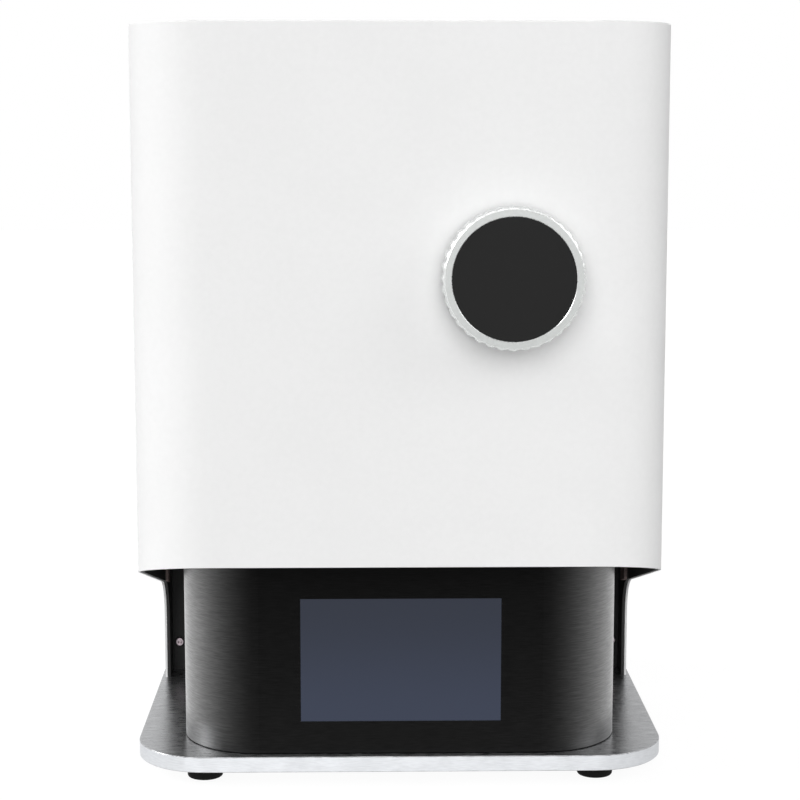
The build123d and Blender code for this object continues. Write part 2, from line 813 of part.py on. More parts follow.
def vat_knob(x):
    """A fluted thumb screw that holds one ear of the vat to the deck"""
    ear_top = clamp_plane + ear_wall + fit_gap
    with BuildPart() as knob:
        with BuildSketch(Plane.XY.offset(ear_top)):
            with Locations((x, build_y)):
                Circle(vat_knob_radius)
                with PolarLocations(vat_knob_radius + small_shank / 2, vat_knob_flutes):
                    Circle(small_shank, mode=Mode.SUBTRACT)
        extrude(amount=vat_knob_height)
        with Locations((x, build_y, deck_bottom)):
            Cylinder(large_shank, ear_top - deck_bottom,
                     align=(Align.CENTER, Align.CENTER, Align.MIN))
    return knob.part


vat_knob_left = vat_knob(-vat_knob_x)
vat_knob_right = vat_knob(vat_knob_x)

# Lift: a motor under a base block turns a lead screw beside a rail, behind the inner rear wall
screw_y = wall_y + lead_screw_gap
top_block_bottom = column_top - top_block_height
motor_bottom = lift_base_bottom - motor_height
rail_y = column_y - rail_height
carriage_y = column_y - carriage_height
arm_plate_top = top_block_bottom - lift_top_gap
arm_plate_bottom = arm_plate_top - arm_plate_height
arm_bottom = arm_plate_bottom + arm_plate_below
arm_top = arm_bottom + arm_wall
platform_bottom = arm_bottom - stem_height - platform_slope_height - platform_thickness
lift_travel = platform_bottom - platform_clearance - film_top
arm_plate_y = carriage_y - arm_wall
carriage_z = (arm_plate_bottom + arm_plate_top) / 2
nut_bottom = carriage_z - nut_height / 2
flag_edge = arm_plate_half_width + flag_reach
flag_bottom = sensor_bottom + sensor_height - flag_overlap + lift_travel

with BuildPart() as lift_base:
    block((-lift_base_left, lift_base_right), (lift_base_y, lift_base_y + lift_base_depth),
          (lift_base_bottom, lift_base_top))
    with Locations(facing_up(screw_x, screw_y, lift_base_top)):
        drill(motor_boss_radius + screw_gap, lift_base_thickness)

with BuildPart() as lift_motor:
    with BuildSketch(Plane.XY.offset(motor_bottom)):
        with Locations((screw_x, screw_y)):
            RectangleRounded(motor_size, motor_size, motor_corner)
    extrude(amount=motor_height)
    with Locations(facing_up(screw_x, screw_y, lift_base_bottom)):
        Cylinder(motor_boss_radius, motor_boss_height,
                 align=(Align.CENTER, Align.CENTER, Align.MIN))
    with Locations(facing_up(screw_x, screw_y, lift_base_bottom + motor_boss_height)):
        drill(screw_radius + running_gap, motor_height)

with BuildPart() as lead_screw:
    with Locations(facing_up(screw_x, screw_y, motor_bottom + motor_boss_height + screw_end_gap)):
        Cylinder(screw_radius, column_top - motor_bottom - motor_boss_height - 2 * screw_end_gap,
                 align=(Align.CENTER, Align.CENTER, Align.MIN))
    chamfer(lead_screw.edges().group_by(Axis.Z)[-1], screw_gap)

with BuildPart() as lift_column:
    block((-column_half_width, column_half_width), (column_y, column_y + column_thickness),
          (lift_base_top, column_top))

with BuildPart() as linear_rail:
    block((rail_x - rail_width / 2, rail_x + rail_width / 2), (rail_y, column_y),
          (lift_base_top + rail_start, top_block_bottom - rail_end_gap))

with BuildPart() as rail_carriage:
    with Locations((rail_x, carriage_y, carriage_z)):
        Box(carriage_width, carriage_height - carriage_float, carriage_length,
            align=(Align.CENTER, Align.MIN, Align.CENTER))
    block((rail_x - rail_width / 2 - running_gap, rail_x + rail_width / 2 + running_gap),
          (rail_y - running_gap, column_y), (arm_plate_bottom, arm_plate_top), mode=Mode.SUBTRACT)

with BuildPart() as lead_nut:
    with Locations((screw_x, carriage_y, nut_bottom)):
        Box(nut_width, nut_depth, nut_height, align=(Align.CENTER, Align.MIN, Align.MIN))
    with Locations(facing_up(screw_x, screw_y, nut_bottom + nut_height)):
        drill(screw_radius + running_gap, nut_height)

with BuildPart() as top_block:
    block((screw_x - top_block_width / 2, screw_x + top_block_width / 2),
          (column_y - top_block_depth, column_y), (top_block_bottom, column_top))
    with Locations(facing_up(screw_x, screw_y, column_top)):
        drill(screw_radius + running_gap, top_block_height)

with BuildPart() as lift_arm:
    block((-arm_plate_half_width, arm_plate_half_width), (arm_plate_y, carriage_y),
          (arm_plate_bottom, arm_plate_top))
    block((-arm_half_width, arm_half_width), (build_y - arm_reach, arm_plate_y), (arm_bottom, arm_top))
    with BuildSketch(Plane.YZ) as gusset:
        with BuildLine():
            Polyline((arm_plate_y, arm_top), (arm_plate_y, arm_top + gusset_height),
                     (arm_plate_y - gusset_reach, arm_top), close=True)
        make_face()
    extrude(gusset.sketch, amount=arm_half_width, both=True)
    block((gusset_wall - arm_half_width, arm_half_width - gusset_wall),
          (arm_plate_y - gusset_reach, arm_plate_y), (arm_top, arm_top + gusset_height),
          mode=Mode.SUBTRACT)
    block((-flag_edge, -arm_plate_half_width), (carriage_y - flag_wall, carriage_y),
          (flag_bottom, flag_bottom + flag_height))
    block((-flag_edge, flag_wall - flag_edge), (carriage_y - flag_wall, carriage_y + flag_depth),
          (flag_bottom, flag_bottom + flag_height))
    with Locations(facing_up(0, build_y, arm_top)):
        drill(clamp_shank + screw_gap, arm_wall)

with BuildPart() as limit_sensor:
    with Locations((flag_wall / 2 - flag_edge, column_y, sensor_bottom)):
        Box(sensor_width, sensor_depth, sensor_height, align=(Align.CENTER, Align.MAX, Align.MIN))
    with Locations((flag_wall / 2 - flag_edge, column_y - sensor_slot, sensor_bottom)):
        Box(sensor_slot, sensor_depth, sensor_height, align=(Align.CENTER, Align.MAX, Align.MIN),
            mode=Mode.SUBTRACT)

# Build platform: flat plate, sloped back and a stem that the clamp screw pulls to the arm
platform_top = platform_bottom + platform_thickness
slope_top = platform_top + platform_slope_height

with BuildPart() as build_platform:
    with Locations((0, build_y, platform_bottom)):
        Box(platform_width, platform_depth, platform_thickness,
            align=(Align.CENTER, Align.CENTER, Align.MIN))
    chamfer(build_platform.edges().filter_by(Axis.Z), platform_edge)
    with BuildSketch(Plane.XY.offset(platform_top)) as slope_foot:
        with Locations((0, build_y)):
            Rectangle(platform_width - platform_slope_step, platform_depth - platform_slope_step)
    with BuildSketch(Plane.XY.offset(slope_top)) as slope_head:
        with Locations((0, build_y)):
            Rectangle(stem_width + platform_slope_step, stem_depth + platform_slope_step)
    loft([slope_foot.sketch.face(), slope_head.sketch.face()])
    with Locations((0, build_y, slope_top)):
        Box(stem_width, stem_depth, stem_height, align=(Align.CENTER, Align.CENTER, Align.MIN))
    with Locations(facing_up(0, build_y, arm_bottom)):
        drill(clamp_shank + thread_gap, clamp_bite + fit_gap)

with BuildPart() as clamp_knob:
    with BuildSketch(Plane.XY.offset(arm_top + fit_gap)):
        with Locations((0, build_y)):
            Circle(clamp_radius)
            with PolarLocations(clamp_radius + clamp_shank / 2, clamp_flutes):
                Circle(clamp_shank, mode=Mode.SUBTRACT)
    extrude(amount=clamp_height)
    with Locations((0, build_y, arm_bottom - clamp_bite)):
        Cylinder(clamp_shank, clamp_bite + arm_wall + fit_gap,
                 align=(Align.CENTER, Align.CENTER, Align.MIN))

# Inner rear wall with the slot that the arm travels in
wall_half_width = inner_x - fit_gap
bracket_face_y = wall_y - bracket_wall
bracket_screws = [(-bracket_screw_x, z + step) for z in hinge_heights
                  for step in (-bracket_screw_spread, bracket_screw_spread)]
wall_screws = [(side * wall_screw_x, z) for side in (-1, 1) for z in wall_screw_heights]
stud_places = [(x, z) for x in (board_left + board_corner, board_right - board_corner)
               for z in (board_bottom + board_corner, board_top - board_corner)]

with BuildPart() as rear_wall:
    block((-wall_half_width, wall_half_width), (wall_y, wall_back_y), (plate_top, inside_top - fit_gap))
    block((-slot_width / 2, slot_width / 2), (wall_y, wall_back_y), (slot_bottom, slot_top),
          mode=Mode.SUBTRACT)
    with Locations(*[facing_front(x, wall_y, z) for x, z in wall_screws + bracket_screws]):
        drill(medium_shank + screw_gap, rear_wall_thickness)
    with Locations(*[facing_back(x, wall_back_y, z) for x, z in stud_places]):
        Cylinder(board_standoff_radius, board_standoff,
                 align=(Align.CENTER, Align.CENTER, Align.MIN))

with BuildPart() as medium_pan_screws:
    with Locations(*[facing_front(x, wall_y, z) for x, z in wall_screws]):
        pan_screw(medium_shank, medium_head, medium_head_height, rear_wall_thickness + screw_bite)
    with Locations(*[facing_front(x, bracket_face_y, z) for x, z in bracket_screws]):
        pan_screw(medium_shank, medium_head, medium_head_height,
                  bracket_wall + rear_wall_thickness + screw_bite)
    with Locations(*[facing_up(x, y, deck_top + keeper_wall) for x, y in keeper_screw_places]):
        pan_screw(medium_shank, medium_head, medium_head_height, keeper_wall + deck_thickness)

# Rear housing: white shell with inner ribs, rear opening and legs cut to the side profile
panel_y = back_y - shell_wall - panel_wall
panel_half_width = opening_width / 2 + panel_rim
panel_screw_x = opening_width / 2 + panel_rim / 2
panel_screw_step = (opening_top - opening_bottom) / (panel_screw_rows - 1)
panel_screw_places = [(side * panel_screw_x, opening_bottom + row * panel_screw_step)
                      for side in (-1, 1) for row in range(panel_screw_rows)]
housing_profile = [
    (housing_y, body_top + margin),
    (back_y + margin, body_top + margin),
    (back_y + margin, plate_top),
    (leg_y, plate_top),
    (leg_y, edge_height(leg_y)),
    (housing_y, edge_height(housing_y)),
]

with BuildPart() as rear_housing:
    plan_block(body_width, housing_y, back_y, plate_top, body_top, body_radius, rounded="back")
    fillet(rear_housing.faces().sort_by(Axis.Z)[-1].edges().sort_by(Axis.Y)[1:], top_edge_round)
    plan_block(2 * inner_x, housing_y, back_y - shell_wall, plate_top, inside_top,
               body_radius - shell_wall, rounded="back", mode=Mode.SUBTRACT)
    side_cut(housing_profile, (leg_y, edge_height(leg_y)), leg_fillet)
    for side in (-1, 1):
        with Locations((side * rib_x, rib_y, plate_top)):
            Box(rib_width, rib_depth, inside_top - plate_top,
                align=(Align.CENTER, Align.CENTER, Align.MIN))
        with Locations((side * boss_spread, boss_y, plate_top)):
            Box(boss_width, boss_depth, boss_height, align=(Align.CENTER, Align.CENTER, Align.MIN))
    with BuildSketch(facing_back(0, back_y, (opening_bottom + opening_top) / 2)):
        RectangleRounded(opening_width, opening_top - opening_bottom, opening_radius)
    extrude(amount=-shell_wall, mode=Mode.SUBTRACT)
    with Locations(*[facing_down(x, y, plate_top) for x, y in housing_foot_places]):
        drill(large_shank + thread_gap, screw_bite + fit_gap)
    with Locations(*[facing_front(x, wall_back_y, z) for x, z in wall_screws + bracket_screws]):
        drill(medium_shank + thread_gap, screw_bite + fit_gap)
    with Locations(*[facing_back(x, back_y, z) for x, z in panel_screw_places]):
        drill(small_shank + screw_gap, shell_wall)

# Black lining of the rear housing, in front of the rear wall
lining_x = inner_x - liner_wall
lining_top = inside_top - liner_wall
with BuildPart() as housing_lining:
    block((-inner_x, inner_x), (housing_y, wall_y - fit_gap), (plate_top, inside_top))
    block((-lining_x, lining_x), (housing_y, wall_y - fit_gap), (plate_top, lining_top),
          mode=Mode.SUBTRACT)
    side_cut(housing_profile, (leg_y, edge_height(leg_y)), leg_fillet)

seal_back_y = housing_y + seal_width
seal_front_y = seam_y - seal_overlap
seal_profile = [
    (seal_front_y, body_top),
    (seal_back_y, body_top),
    (seal_back_y, edge_height(seal_back_y)),
    (seal_front_y, edge_height(seal_front_y)),
]
with BuildPart() as light_seals:
    block((-lining_x, seal_wall - lining_x), (housing_y + fit_gap, seal_back_y), (0, lining_top))
    block((lining_x - seal_wall, lining_x), (housing_y + fit_gap, seal_back_y), (0, lining_top))
    block((lining_x - seal_front_gap - seal_wall, lining_x - seal_front_gap),
          (seal_front_y, seal_back_y), (0, lining_top - seal_front_gap))
    block((-lining_x, lining_x), (housing_y + fit_gap, seal_back_y),
          (lining_top - seal_wall, lining_top))
    block((seal_lip_start, lining_x - seal_front_gap), (seal_front_y, seal_back_y),
          (lining_top - seal_front_gap - seal_wall, lining_top - seal_front_gap))
    side_cut(seal_profile)

# Rear panel: vents, fan grille and cut-outs for the inlet and the ports
usb_x = port_x - port_pitch / 2
network_x = port_x + port_pitch / 2
with BuildPart() as rear_panel:
    block((-panel_half_width, panel_half_width), (panel_y, panel_y + panel_wall),
          (opening_bottom - panel_rim, opening_top + panel_rim))
    with BuildSketch(facing_back(0, panel_y + panel_wall, exhaust_z)):
        Circle(grille_hole)
        for ring in range(1, grille_rings + 1):
            with PolarLocations(ring * grille_step, 6 * ring):
                Circle(grille_hole)
    extrude(amount=-panel_wall, mode=Mode.SUBTRACT)
    with BuildSketch(facing_back(0, panel_y + panel_wall, vent_z)):
        with GridLocations(vent_column_pitch, vent_pitch, vent_columns, vent_rows):
            SlotOverall(vent_length, vent_width)
    extrude(amount=-panel_wall, mode=Mode.SUBTRACT)
    with Locations((inlet_x, panel_y, inlet_z)):
        Box(inlet_width + 2 * screw_gap, panel_wall, inlet_height + 2 * screw_gap,
            align=(Align.CENTER, Align.MIN, Align.CENTER), mode=Mode.SUBTRACT)
    with Locations((usb_x, panel_y, port_z)):
        Box(usb_width + 2 * screw_gap, panel_wall, usb_height + 2 * screw_gap,
            align=(Align.CENTER, Align.MIN, Align.CENTER), mode=Mode.SUBTRACT)
    with Locations((network_x, panel_y, port_z)):
        Box(network_width + 2 * screw_gap, panel_wall, network_height + 2 * screw_gap,
            align=(Align.CENTER, Align.MIN, Align.CENTER), mode=Mode.SUBTRACT)
    with Locations(*[facing_back(x, panel_y + panel_wall, z) for x, z in panel_screw_places]):
        drill(small_shank + thread_gap, panel_wall)

with BuildPart() as small_pan_screws:
    with Locations(*[facing_back(x, back_y, z) for x, z in panel_screw_places]):
        pan_screw(small_shank, small_head, small_head_height, shell_wall + panel_wall)
    with Locations(*[facing_back(x, ear_y + ear_plate_wall, z) for x, z in boss_places]):
        pan_screw(small_shank, small_head, small_head_height, display_depth)

exhaust_place = facing_front(0, panel_y, exhaust_z)
exhaust_fan_rotor = fan_rotor(exhaust_place)
with BuildPart() as fan_frames:
    fan_frame(light_fan_place)
    fan_frame(exhaust_place)

inlet_face_y = panel_y + panel_wall + inlet_flange
socket_z = inlet_z - socket_drop
rocker_z = inlet_z + rocker_rise
cavity_depth = inlet_flange + rocker_radius + rocker_gap
with BuildPart() as power_inlet:
    with Locations((inlet_x, panel_y + panel_wall, inlet_z)):
        Box(inlet_width, inlet_depth, inlet_height, align=(Align.CENTER, Align.MAX, Align.CENTER))
        Box(inlet_width + 2 * inlet_flange_rim, inlet_flange, inlet_height + 2 * inlet_flange_rim,
            align=(Align.CENTER, Align.MIN, Align.CENTER))
    with Locations((inlet_x, inlet_face_y, socket_z)):
        Box(socket_width, socket_depth, socket_height, align=(Align.CENTER, Align.MAX, Align.CENTER),
            mode=Mode.SUBTRACT)
    with Locations((inlet_x, inlet_face_y, rocker_z)):
        Box(rocker_width + 2 * rocker_gap, cavity_depth, 2 * (rocker_radius + rocker_gap),
            align=(Align.CENTER, Align.MAX, Align.CENTER), mode=Mode.SUBTRACT)
    with Locations((inlet_x, inlet_face_y - inlet_flange, rocker_z)):
        Cylinder(rocker_pin_radius + running_gap, rocker_width + 2 * (rocker_pin_length + rocker_gap),
                 rotation=(0, 90, 0), mode=Mode.SUBTRACT)
    with Locations((inlet_x, inlet_face_y - socket_depth, socket_z - contact_rise),
                   (inlet_x - contact_spread, inlet_face_y - socket_depth, socket_z),
                   (inlet_x + contact_spread, inlet_face_y - socket_depth, socket_z)):
        Box(contact_width, socket_depth - contact_width, contact_height,
            align=(Align.CENTER, Align.MIN, Align.CENTER))

rocker_y = inlet_face_y - inlet_flange
with BuildPart() as power_rocker:
    with BuildSketch(Plane.YZ.offset(inlet_x - rocker_width / 2)) as rocker_side:
        with Locations((rocker_y, rocker_z)):
            Circle(rocker_radius)
        with Locations((rocker_y + rocker_face + rocker_radius, rocker_z)):
            Rectangle(2 * rocker_radius, 4 * rocker_radius, rotation=-rocker_throw / 2,
                      mode=Mode.SUBTRACT)
    extrude(rocker_side.sketch, amount=rocker_width)
    with Locations((inlet_x, rocker_y, rocker_z)):
        Cylinder(rocker_pin_radius, rocker_width + 2 * rocker_pin_length, rotation=(0, 90, 0))

port_face_y = panel_y + panel_wall + port_proud
with BuildPart() as data_ports:
    with Locations((usb_x, port_face_y, port_z)):
        Box(usb_width, port_depth, usb_height, align=(Align.CENTER, Align.MAX, Align.CENTER))
        Box(usb_width - 2 * usb_shell, port_depth - usb_shell, usb_height - 2 * usb_shell,
            align=(Align.CENTER, Align.MAX, Align.CENTER), mode=Mode.SUBTRACT)
        Box(usb_width - 4 * usb_shell, port_depth - usb_shell, usb_tongue,
            align=(Align.CENTER, Align.MAX, Align.CENTER))
    with Locations((network_x, port_face_y, port_z)):
        Box(network_width, port_depth, network_height, align=(Align.CENTER, Align.MAX, Align.CENTER))
        Box(network_width - 2 * network_wall, port_depth - network_wall,
            network_height - 2 * network_wall, align=(Align.CENTER, Align.MAX, Align.CENTER),
            mode=Mode.SUBTRACT)

# Boards and power supply on the back of the inner wall
board_x = (board_left + board_right) / 2
board_z = (board_bottom + board_top) / 2
board_y = wall_back_y + board_standoff
with BuildPart() as mainboard:
    block((board_left, board_right), (board_y, board_y + board_wall), (board_bottom, board_top))
    with Locations(facing_back(board_x, board_y + board_wall, board_z)):
        Box(chip_size, chip_size, chip_height, align=(Align.CENTER, Align.CENTER, Align.MIN))
    with Locations(facing_back(board_left + 2 * board_corner, board_y + board_wall, board_z)):
        Box(header_width, header_length, header_height, align=(Align.CENTER, Align.CENTER, Align.MIN))
    with Locations(facing_back(board_right - 3 * board_corner, board_y + board_wall, board_z)):
        with GridLocations(driver_size, driver_pitch, 1, driver_count):
            Box(driver_size, driver_size, chip_height, align=(Align.CENTER, Align.CENTER, Align.MIN))

with BuildPart() as power_supply:
    block((supply_left, supply_right), (wall_back_y, wall_back_y + supply_depth),
          (supply_bottom, supply_top))
    with Locations(facing_back((supply_left + supply_right) / 2, wall_back_y + supply_depth,
                               (supply_bottom + supply_top) / 2)):
        with GridLocations(supply_slot_length, supply_slot_pitch, 1, supply_slot_count):
            Box(supply_slot_length, supply_slot, supply_slot_depth,
                align=(Align.CENTER, Align.CENTER, Align.MAX), mode=Mode.SUBTRACT)

# Door: white shell, black lining, cut to the sloping lower edge
door_profile = [
    (face_y - margin, body_top + margin),
    (seam_y, body_top + margin),
    (seam_y, edge_height(seam_y)),
    (face_y - margin, edge_height(face_y - margin)),
]
pocket_radius = knuckle_radius + pocket_gap
pocket_height = hinge_height + 2 * (pin_head_height + pocket_gap)
leaf_screw_places = [(hinge_y - leaf_screw_setback, z + step) for z in hinge_heights
                     for step in (-leaf_screw_spread, leaf_screw_spread)]
leaf_face_x = leaf_wall - lining_x

with BuildPart() as door_shell:
    plan_block(body_width, face_y, seam_y, 0, body_top, body_radius, rounded="front")
    fillet(door_shell.faces().sort_by(Axis.Z)[-1].edges().sort_by(Axis.Y)[:-1], top_edge_round)
    plan_block(2 * inner_x, face_y + shell_wall, seam_y, 0, inside_top, body_radius - shell_wall,
               rounded="front", mode=Mode.SUBTRACT)
    side_cut(door_profile)
    with Locations(*[(hinge_x, hinge_y, z) for z in hinge_heights]):
        Cylinder(pocket_radius, pocket_height, mode=Mode.SUBTRACT)
    with Locations(facing_front(knob_x, face_y, knob_z)):
        drill(bushing_radius + screw_gap, shell_wall)
    with Locations(*[facing_right(-inner_x, y, z) for y, z in leaf_screw_places]):
        drill(medium_shank + thread_gap, leaf_screw_depth)

with BuildPart() as door_lining:
    plan_block(2 * inner_x, face_y + shell_wall, seam_y, 0, inside_top, body_radius - shell_wall,
               rounded="front")
    plan_block(2 * lining_x, face_y + shell_wall + liner_wall, seam_y, 0, lining_top,
               body_radius - shell_wall - liner_wall, rounded="front", mode=Mode.SUBTRACT)
    side_cut(door_profile)
    with Locations(*[(hinge_x, hinge_y, z) for z in hinge_heights]):
        Cylinder(pocket_radius, pocket_height, mode=Mode.SUBTRACT)
    with Locations(facing_front(knob_x, face_y + shell_wall, knob_z)):
        drill(bushing_radius + screw_gap, liner_wall)
    with Locations(*[facing_right(-lining_x, y, z) for y, z in leaf_screw_places]):
        drill(medium_shank + screw_gap, liner_wall)

# Hinges: a leaf on the door, a cranked bracket on the rear wall, and a pin through both
with BuildPart() as hinge_leaves:
    for z in hinge_heights:
        block((-lining_x, leaf_face_x), (hinge_y - leaf_length, hinge_y),
              (z - hinge_height / 2, z + hinge_height / 2))
        with Locations((hinge_x, hinge_y, z)):
            Cylinder(knuckle_radius, hinge_height)
            Cylinder(pocket_radius, eye_height + 2 * knuckle_gap, mode=Mode.SUBTRACT)
            Cylinder(pin_radius + press_gap, hinge_height, mode=Mode.SUBTRACT)
    with Locations(*[facing_right(leaf_face_x, y, z) for y, z in leaf_screw_places]):
        drill(medium_shank + screw_gap, leaf_wall)

with BuildPart() as leaf_screws:
    with Locations(*[facing_right(leaf_face_x, y, z) for y, z in leaf_screw_places]):
        pan_screw(medium_shank, medium_head, medium_head_height, leaf_wall + liner_wall + leaf_screw_depth)

with BuildPart() as hinge_pins:
    with Locations(*[(hinge_x, hinge_y, z - hinge_height / 2) for z in hinge_heights]):
        Cylinder(pin_radius, hinge_height, align=(Align.CENTER, Align.CENTER, Align.MIN))
    with Locations(*[(hinge_x, hinge_y, z + hinge_height / 2) for z in hinge_heights]):
        Cylinder(pin_head, pin_head_height, align=(Align.CENTER, Align.CENTER, Align.MIN))

bracket_x = hinge_x + bracket_offset
with BuildPart() as hinge_brackets:
    for z in hinge_heights:
        block((hinge_x, bracket_x + bracket_wall), (hinge_y - bracket_wall, hinge_y),
              (z - eye_height / 2, z + eye_height / 2))
        block((bracket_x, bracket_x + bracket_wall), (hinge_y - bracket_wall, wall_y),
              (z - bracket_height / 2, z + bracket_height / 2))
        block((fit_gap - lining_x, bracket_x + bracket_wall), (bracket_face_y, wall_y),
              (z - bracket_height / 2, z + bracket_height / 2))
        with Locations((hinge_x, hinge_y, z)):
            Cylinder(knuckle_radius, eye_height)
            Cylinder(pin_radius + running_gap, eye_height, mode=Mode.SUBTRACT)
    with Locations(*[facing_front(x, bracket_face_y, z) for x, z in bracket_screws]):
        drill(medium_shank + screw_gap, bracket_wall)

# Knob: fluted rim, pale front ring and black face on a spindle through the door
knob_plane = facing_front(knob_x, face_y, knob_z)
ring_start = knob_reach - knob_ring_height
flute_centre = knob_radius + flute_radius - flute_depth

with BuildPart() as knob_body:
    with BuildSketch(knob_plane.offset(knob_lift)):
        Circle(knob_radius)
        with PolarLocations(flute_centre, knob_flutes):
            Circle(flute_radius, mode=Mode.SUBTRACT)
    extrude(amount=ring_start - knob_lift)
    with Locations(knob_plane.offset(ring_start)):
        Cylinder(knob_ring_radius, knob_ring_height, align=(Align.CENTER, Align.CENTER, Align.MIN))
    chamfer(knob_body.faces().sort_by(Axis.Y)[0].edges(), knob_ring_edge)
    with Locations(knob_plane.offset(bushing_flange_height + fit_gap)):
        Cylinder(knob_neck_radius, knob_lift - bushing_flange_height - fit_gap,
                 align=(Align.CENTER, Align.CENTER, Align.MIN))
        Cylinder(spindle_radius + press_gap, spindle_socket,
                 align=(Align.CENTER, Align.CENTER, Align.MIN), mode=Mode.SUBTRACT)
    with Locations(knob_plane.offset(knob_reach)):
        drill(knob_face_radius + screw_gap, knob_face_sunk + knob_face_thickness)
    chamfer(knob_body.faces().sort_by(Axis.Y)[0].edges().sort_by(SortBy.RADIUS)[0], knob_ring_edge)

with BuildPart() as knob_face:
    with Locations(knob_plane.offset(knob_reach - knob_face_sunk)):
        Cylinder(knob_face_radius, knob_face_thickness, align=(Align.CENTER, Align.CENTER, Align.MAX))

spindle_front = bushing_flange_height + spindle_socket
with BuildPart() as knob_spindle:
    with Locations(knob_plane.offset(spindle_front)):
        Cylinder(spindle_radius, spindle_front + latch_setback,
                 align=(Align.CENTER, Align.CENTER, Align.MAX))
    with Locations(knob_plane.offset(-latch_setback)):
        Cylinder(latch_spigot, latch_wall, align=(Align.CENTER, Align.CENTER, Align.MAX))
    with Locations(facing_back(knob_x, face_y + latch_setback + latch_wall, knob_z)):
        drill(large_shank + thread_gap, latch_wall + screw_bite)

with BuildPart() as knob_bushing:
    with Locations(knob_plane):
        Cylinder(bushing_flange, bushing_flange_height, align=(Align.CENTER, Align.CENTER, Align.MIN))
        Cylinder(bushing_radius, bushing_length, align=(Align.CENTER, Align.CENTER, Align.MAX))
    with Locations(knob_plane.offset(bushing_flange_height)):
        drill(spindle_radius + running_gap, bushing_flange_height + bushing_length)
    with BuildSketch(knob_plane.offset(-shell_wall - liner_wall)):
        RegularPolygon(nut_flat_radius, 6)
        Circle(bushing_radius + thread_gap, mode=Mode.SUBTRACT)
    extrude(amount=-nut_wall)

latch_length = knob_z - deck_top - keeper_wall - keeper_floor_gap - latch_tip
with BuildPart() as latch_arm:
    with BuildSketch(knob_plane.offset(-latch_setback)):
        Circle(latch_hub)
        with Locations((-latch_length, 0)):
            Circle(latch_tip)
        with Locations((-latch_length / 2, 0)):
            Rectangle(latch_length, 2 * latch_tip)
        Circle(latch_spigot + screw_gap, mode=Mode.SUBTRACT)
    extrude(amount=-latch_wall)

with BuildPart() as latch_screw:
    with Locations(facing_back(knob_x, face_y + latch_setback + latch_wall, knob_z)):
        pan_screw(large_shank, latch_spigot + large_shank, large_head_height, latch_wall + screw_bite)

with BuildPart() as latch_keeper:
    block((knob_x - keeper_width / 2, knob_x + keeper_width / 2),
          (keeper_front_y, pod_y + keeper_foot), (deck_top, deck_top + keeper_wall))
    block((knob_x - keeper_width / 2, knob_x + keeper_width / 2),
          (keeper_front_y, keeper_front_y + keeper_wall), (deck_top, deck_top + keeper_wall + keeper_lip))
    with Locations(*[facing_up(x, y, deck_top + keeper_wall) for x, y in keeper_screw_places]):
        drill(medium_shank + screw_gap, keeper_wall)

finished = {
    "base_plate": base_plate.part,
    "rubber_feet": rubber_feet.part,
    "foot_screws": foot_screws.part,
    "large_flat_screws": large_flat_screws.part,
    "pod_shell": pod_shell.part,
    "touch_glass": touch_glass.part,
    "display_module": display_module.part,
    "deck_plate": deck_plate.part,
    "support_posts": support_posts.part,
    "mask_display": mask_display.part,
    "light_shroud": light_shroud.part,
    "lamp_board": lamp_board.part,
    "lens_plate": lens_plate.part,
    "heat_sink": heat_sink.part,
    "fan_frames": fan_frames.part,
    "light_fan_rotor": light_fan_rotor,
    "vat_frame": vat_frame.part,
    "vat_film": vat_film.part,
    "film_ring": film_ring.part,
    "ring_screws": ring_screws.part,
    "vat_knob_left": vat_knob_left,
    "vat_knob_right": vat_knob_right,
    "lift_base": lift_base.part,
    "lift_motor": lift_motor.part,
    "lead_screw": lead_screw.part,
    "lift_column": lift_column.part,
    "linear_rail": linear_rail.part,
    "rail_carriage": rail_carriage.part,
    "lead_nut": lead_nut.part,
    "top_block": top_block.part,
    "lift_arm": lift_arm.part,
    "limit_sensor": limit_sensor.part,
    "build_platform": build_platform.part,
    "clamp_knob": clamp_knob.part,
    "rear_wall": rear_wall.part,
    "medium_pan_screws": medium_pan_screws.part,
    "rear_housing": rear_housing.part,
    "housing_lining": housing_lining.part,
    "light_seals": light_seals.part,
    "rear_panel": rear_panel.part,
    "small_pan_screws": small_pan_screws.part,
    "exhaust_fan_rotor": exhaust_fan_rotor,
    "power_inlet": power_inlet.part,
    "power_rocker": power_rocker.part,
    "data_ports": data_ports.part,
    "mainboard": mainboard.part,
    "power_supply": power_supply.part,
    "door_shell": door_shell.part,
    "door_lining": door_lining.part,
    "hinge_leaves": hinge_leaves.part,
    "leaf_screws": leaf_screws.part,
    "hinge_pins": hinge_pins.part,
    "hinge_brackets": hinge_brackets.part,
    "knob_body": knob_body.part,
    "knob_face": knob_face.part,
    "knob_spindle": knob_spindle.part,
    "knob_bushing": knob_bushing.part,
    "latch_arm": latch_arm.part,
    "latch_screw": latch_screw.part,
    "latch_keeper": latch_keeper.part,
}

os.makedirs("parts", exist_ok=True)
for name, piece in finished.items():
    piece.label = name
    export_step(piece, f"parts/{name}.step")
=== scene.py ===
# %% [markdown]
# # A desktop resin printer, finished for its portrait
#
# The printer comes in as sixty solid pieces, already in place and already able
# to move. This notebook gives them their finishes, remakes the few pieces whose
# fine shape needs more than a plain solid, and sets up the studio.
#
# The first cell brings the pieces in and keeps the size of the whole.

# %% Bring in the printer
import json
from math import cos, pi, radians, sin

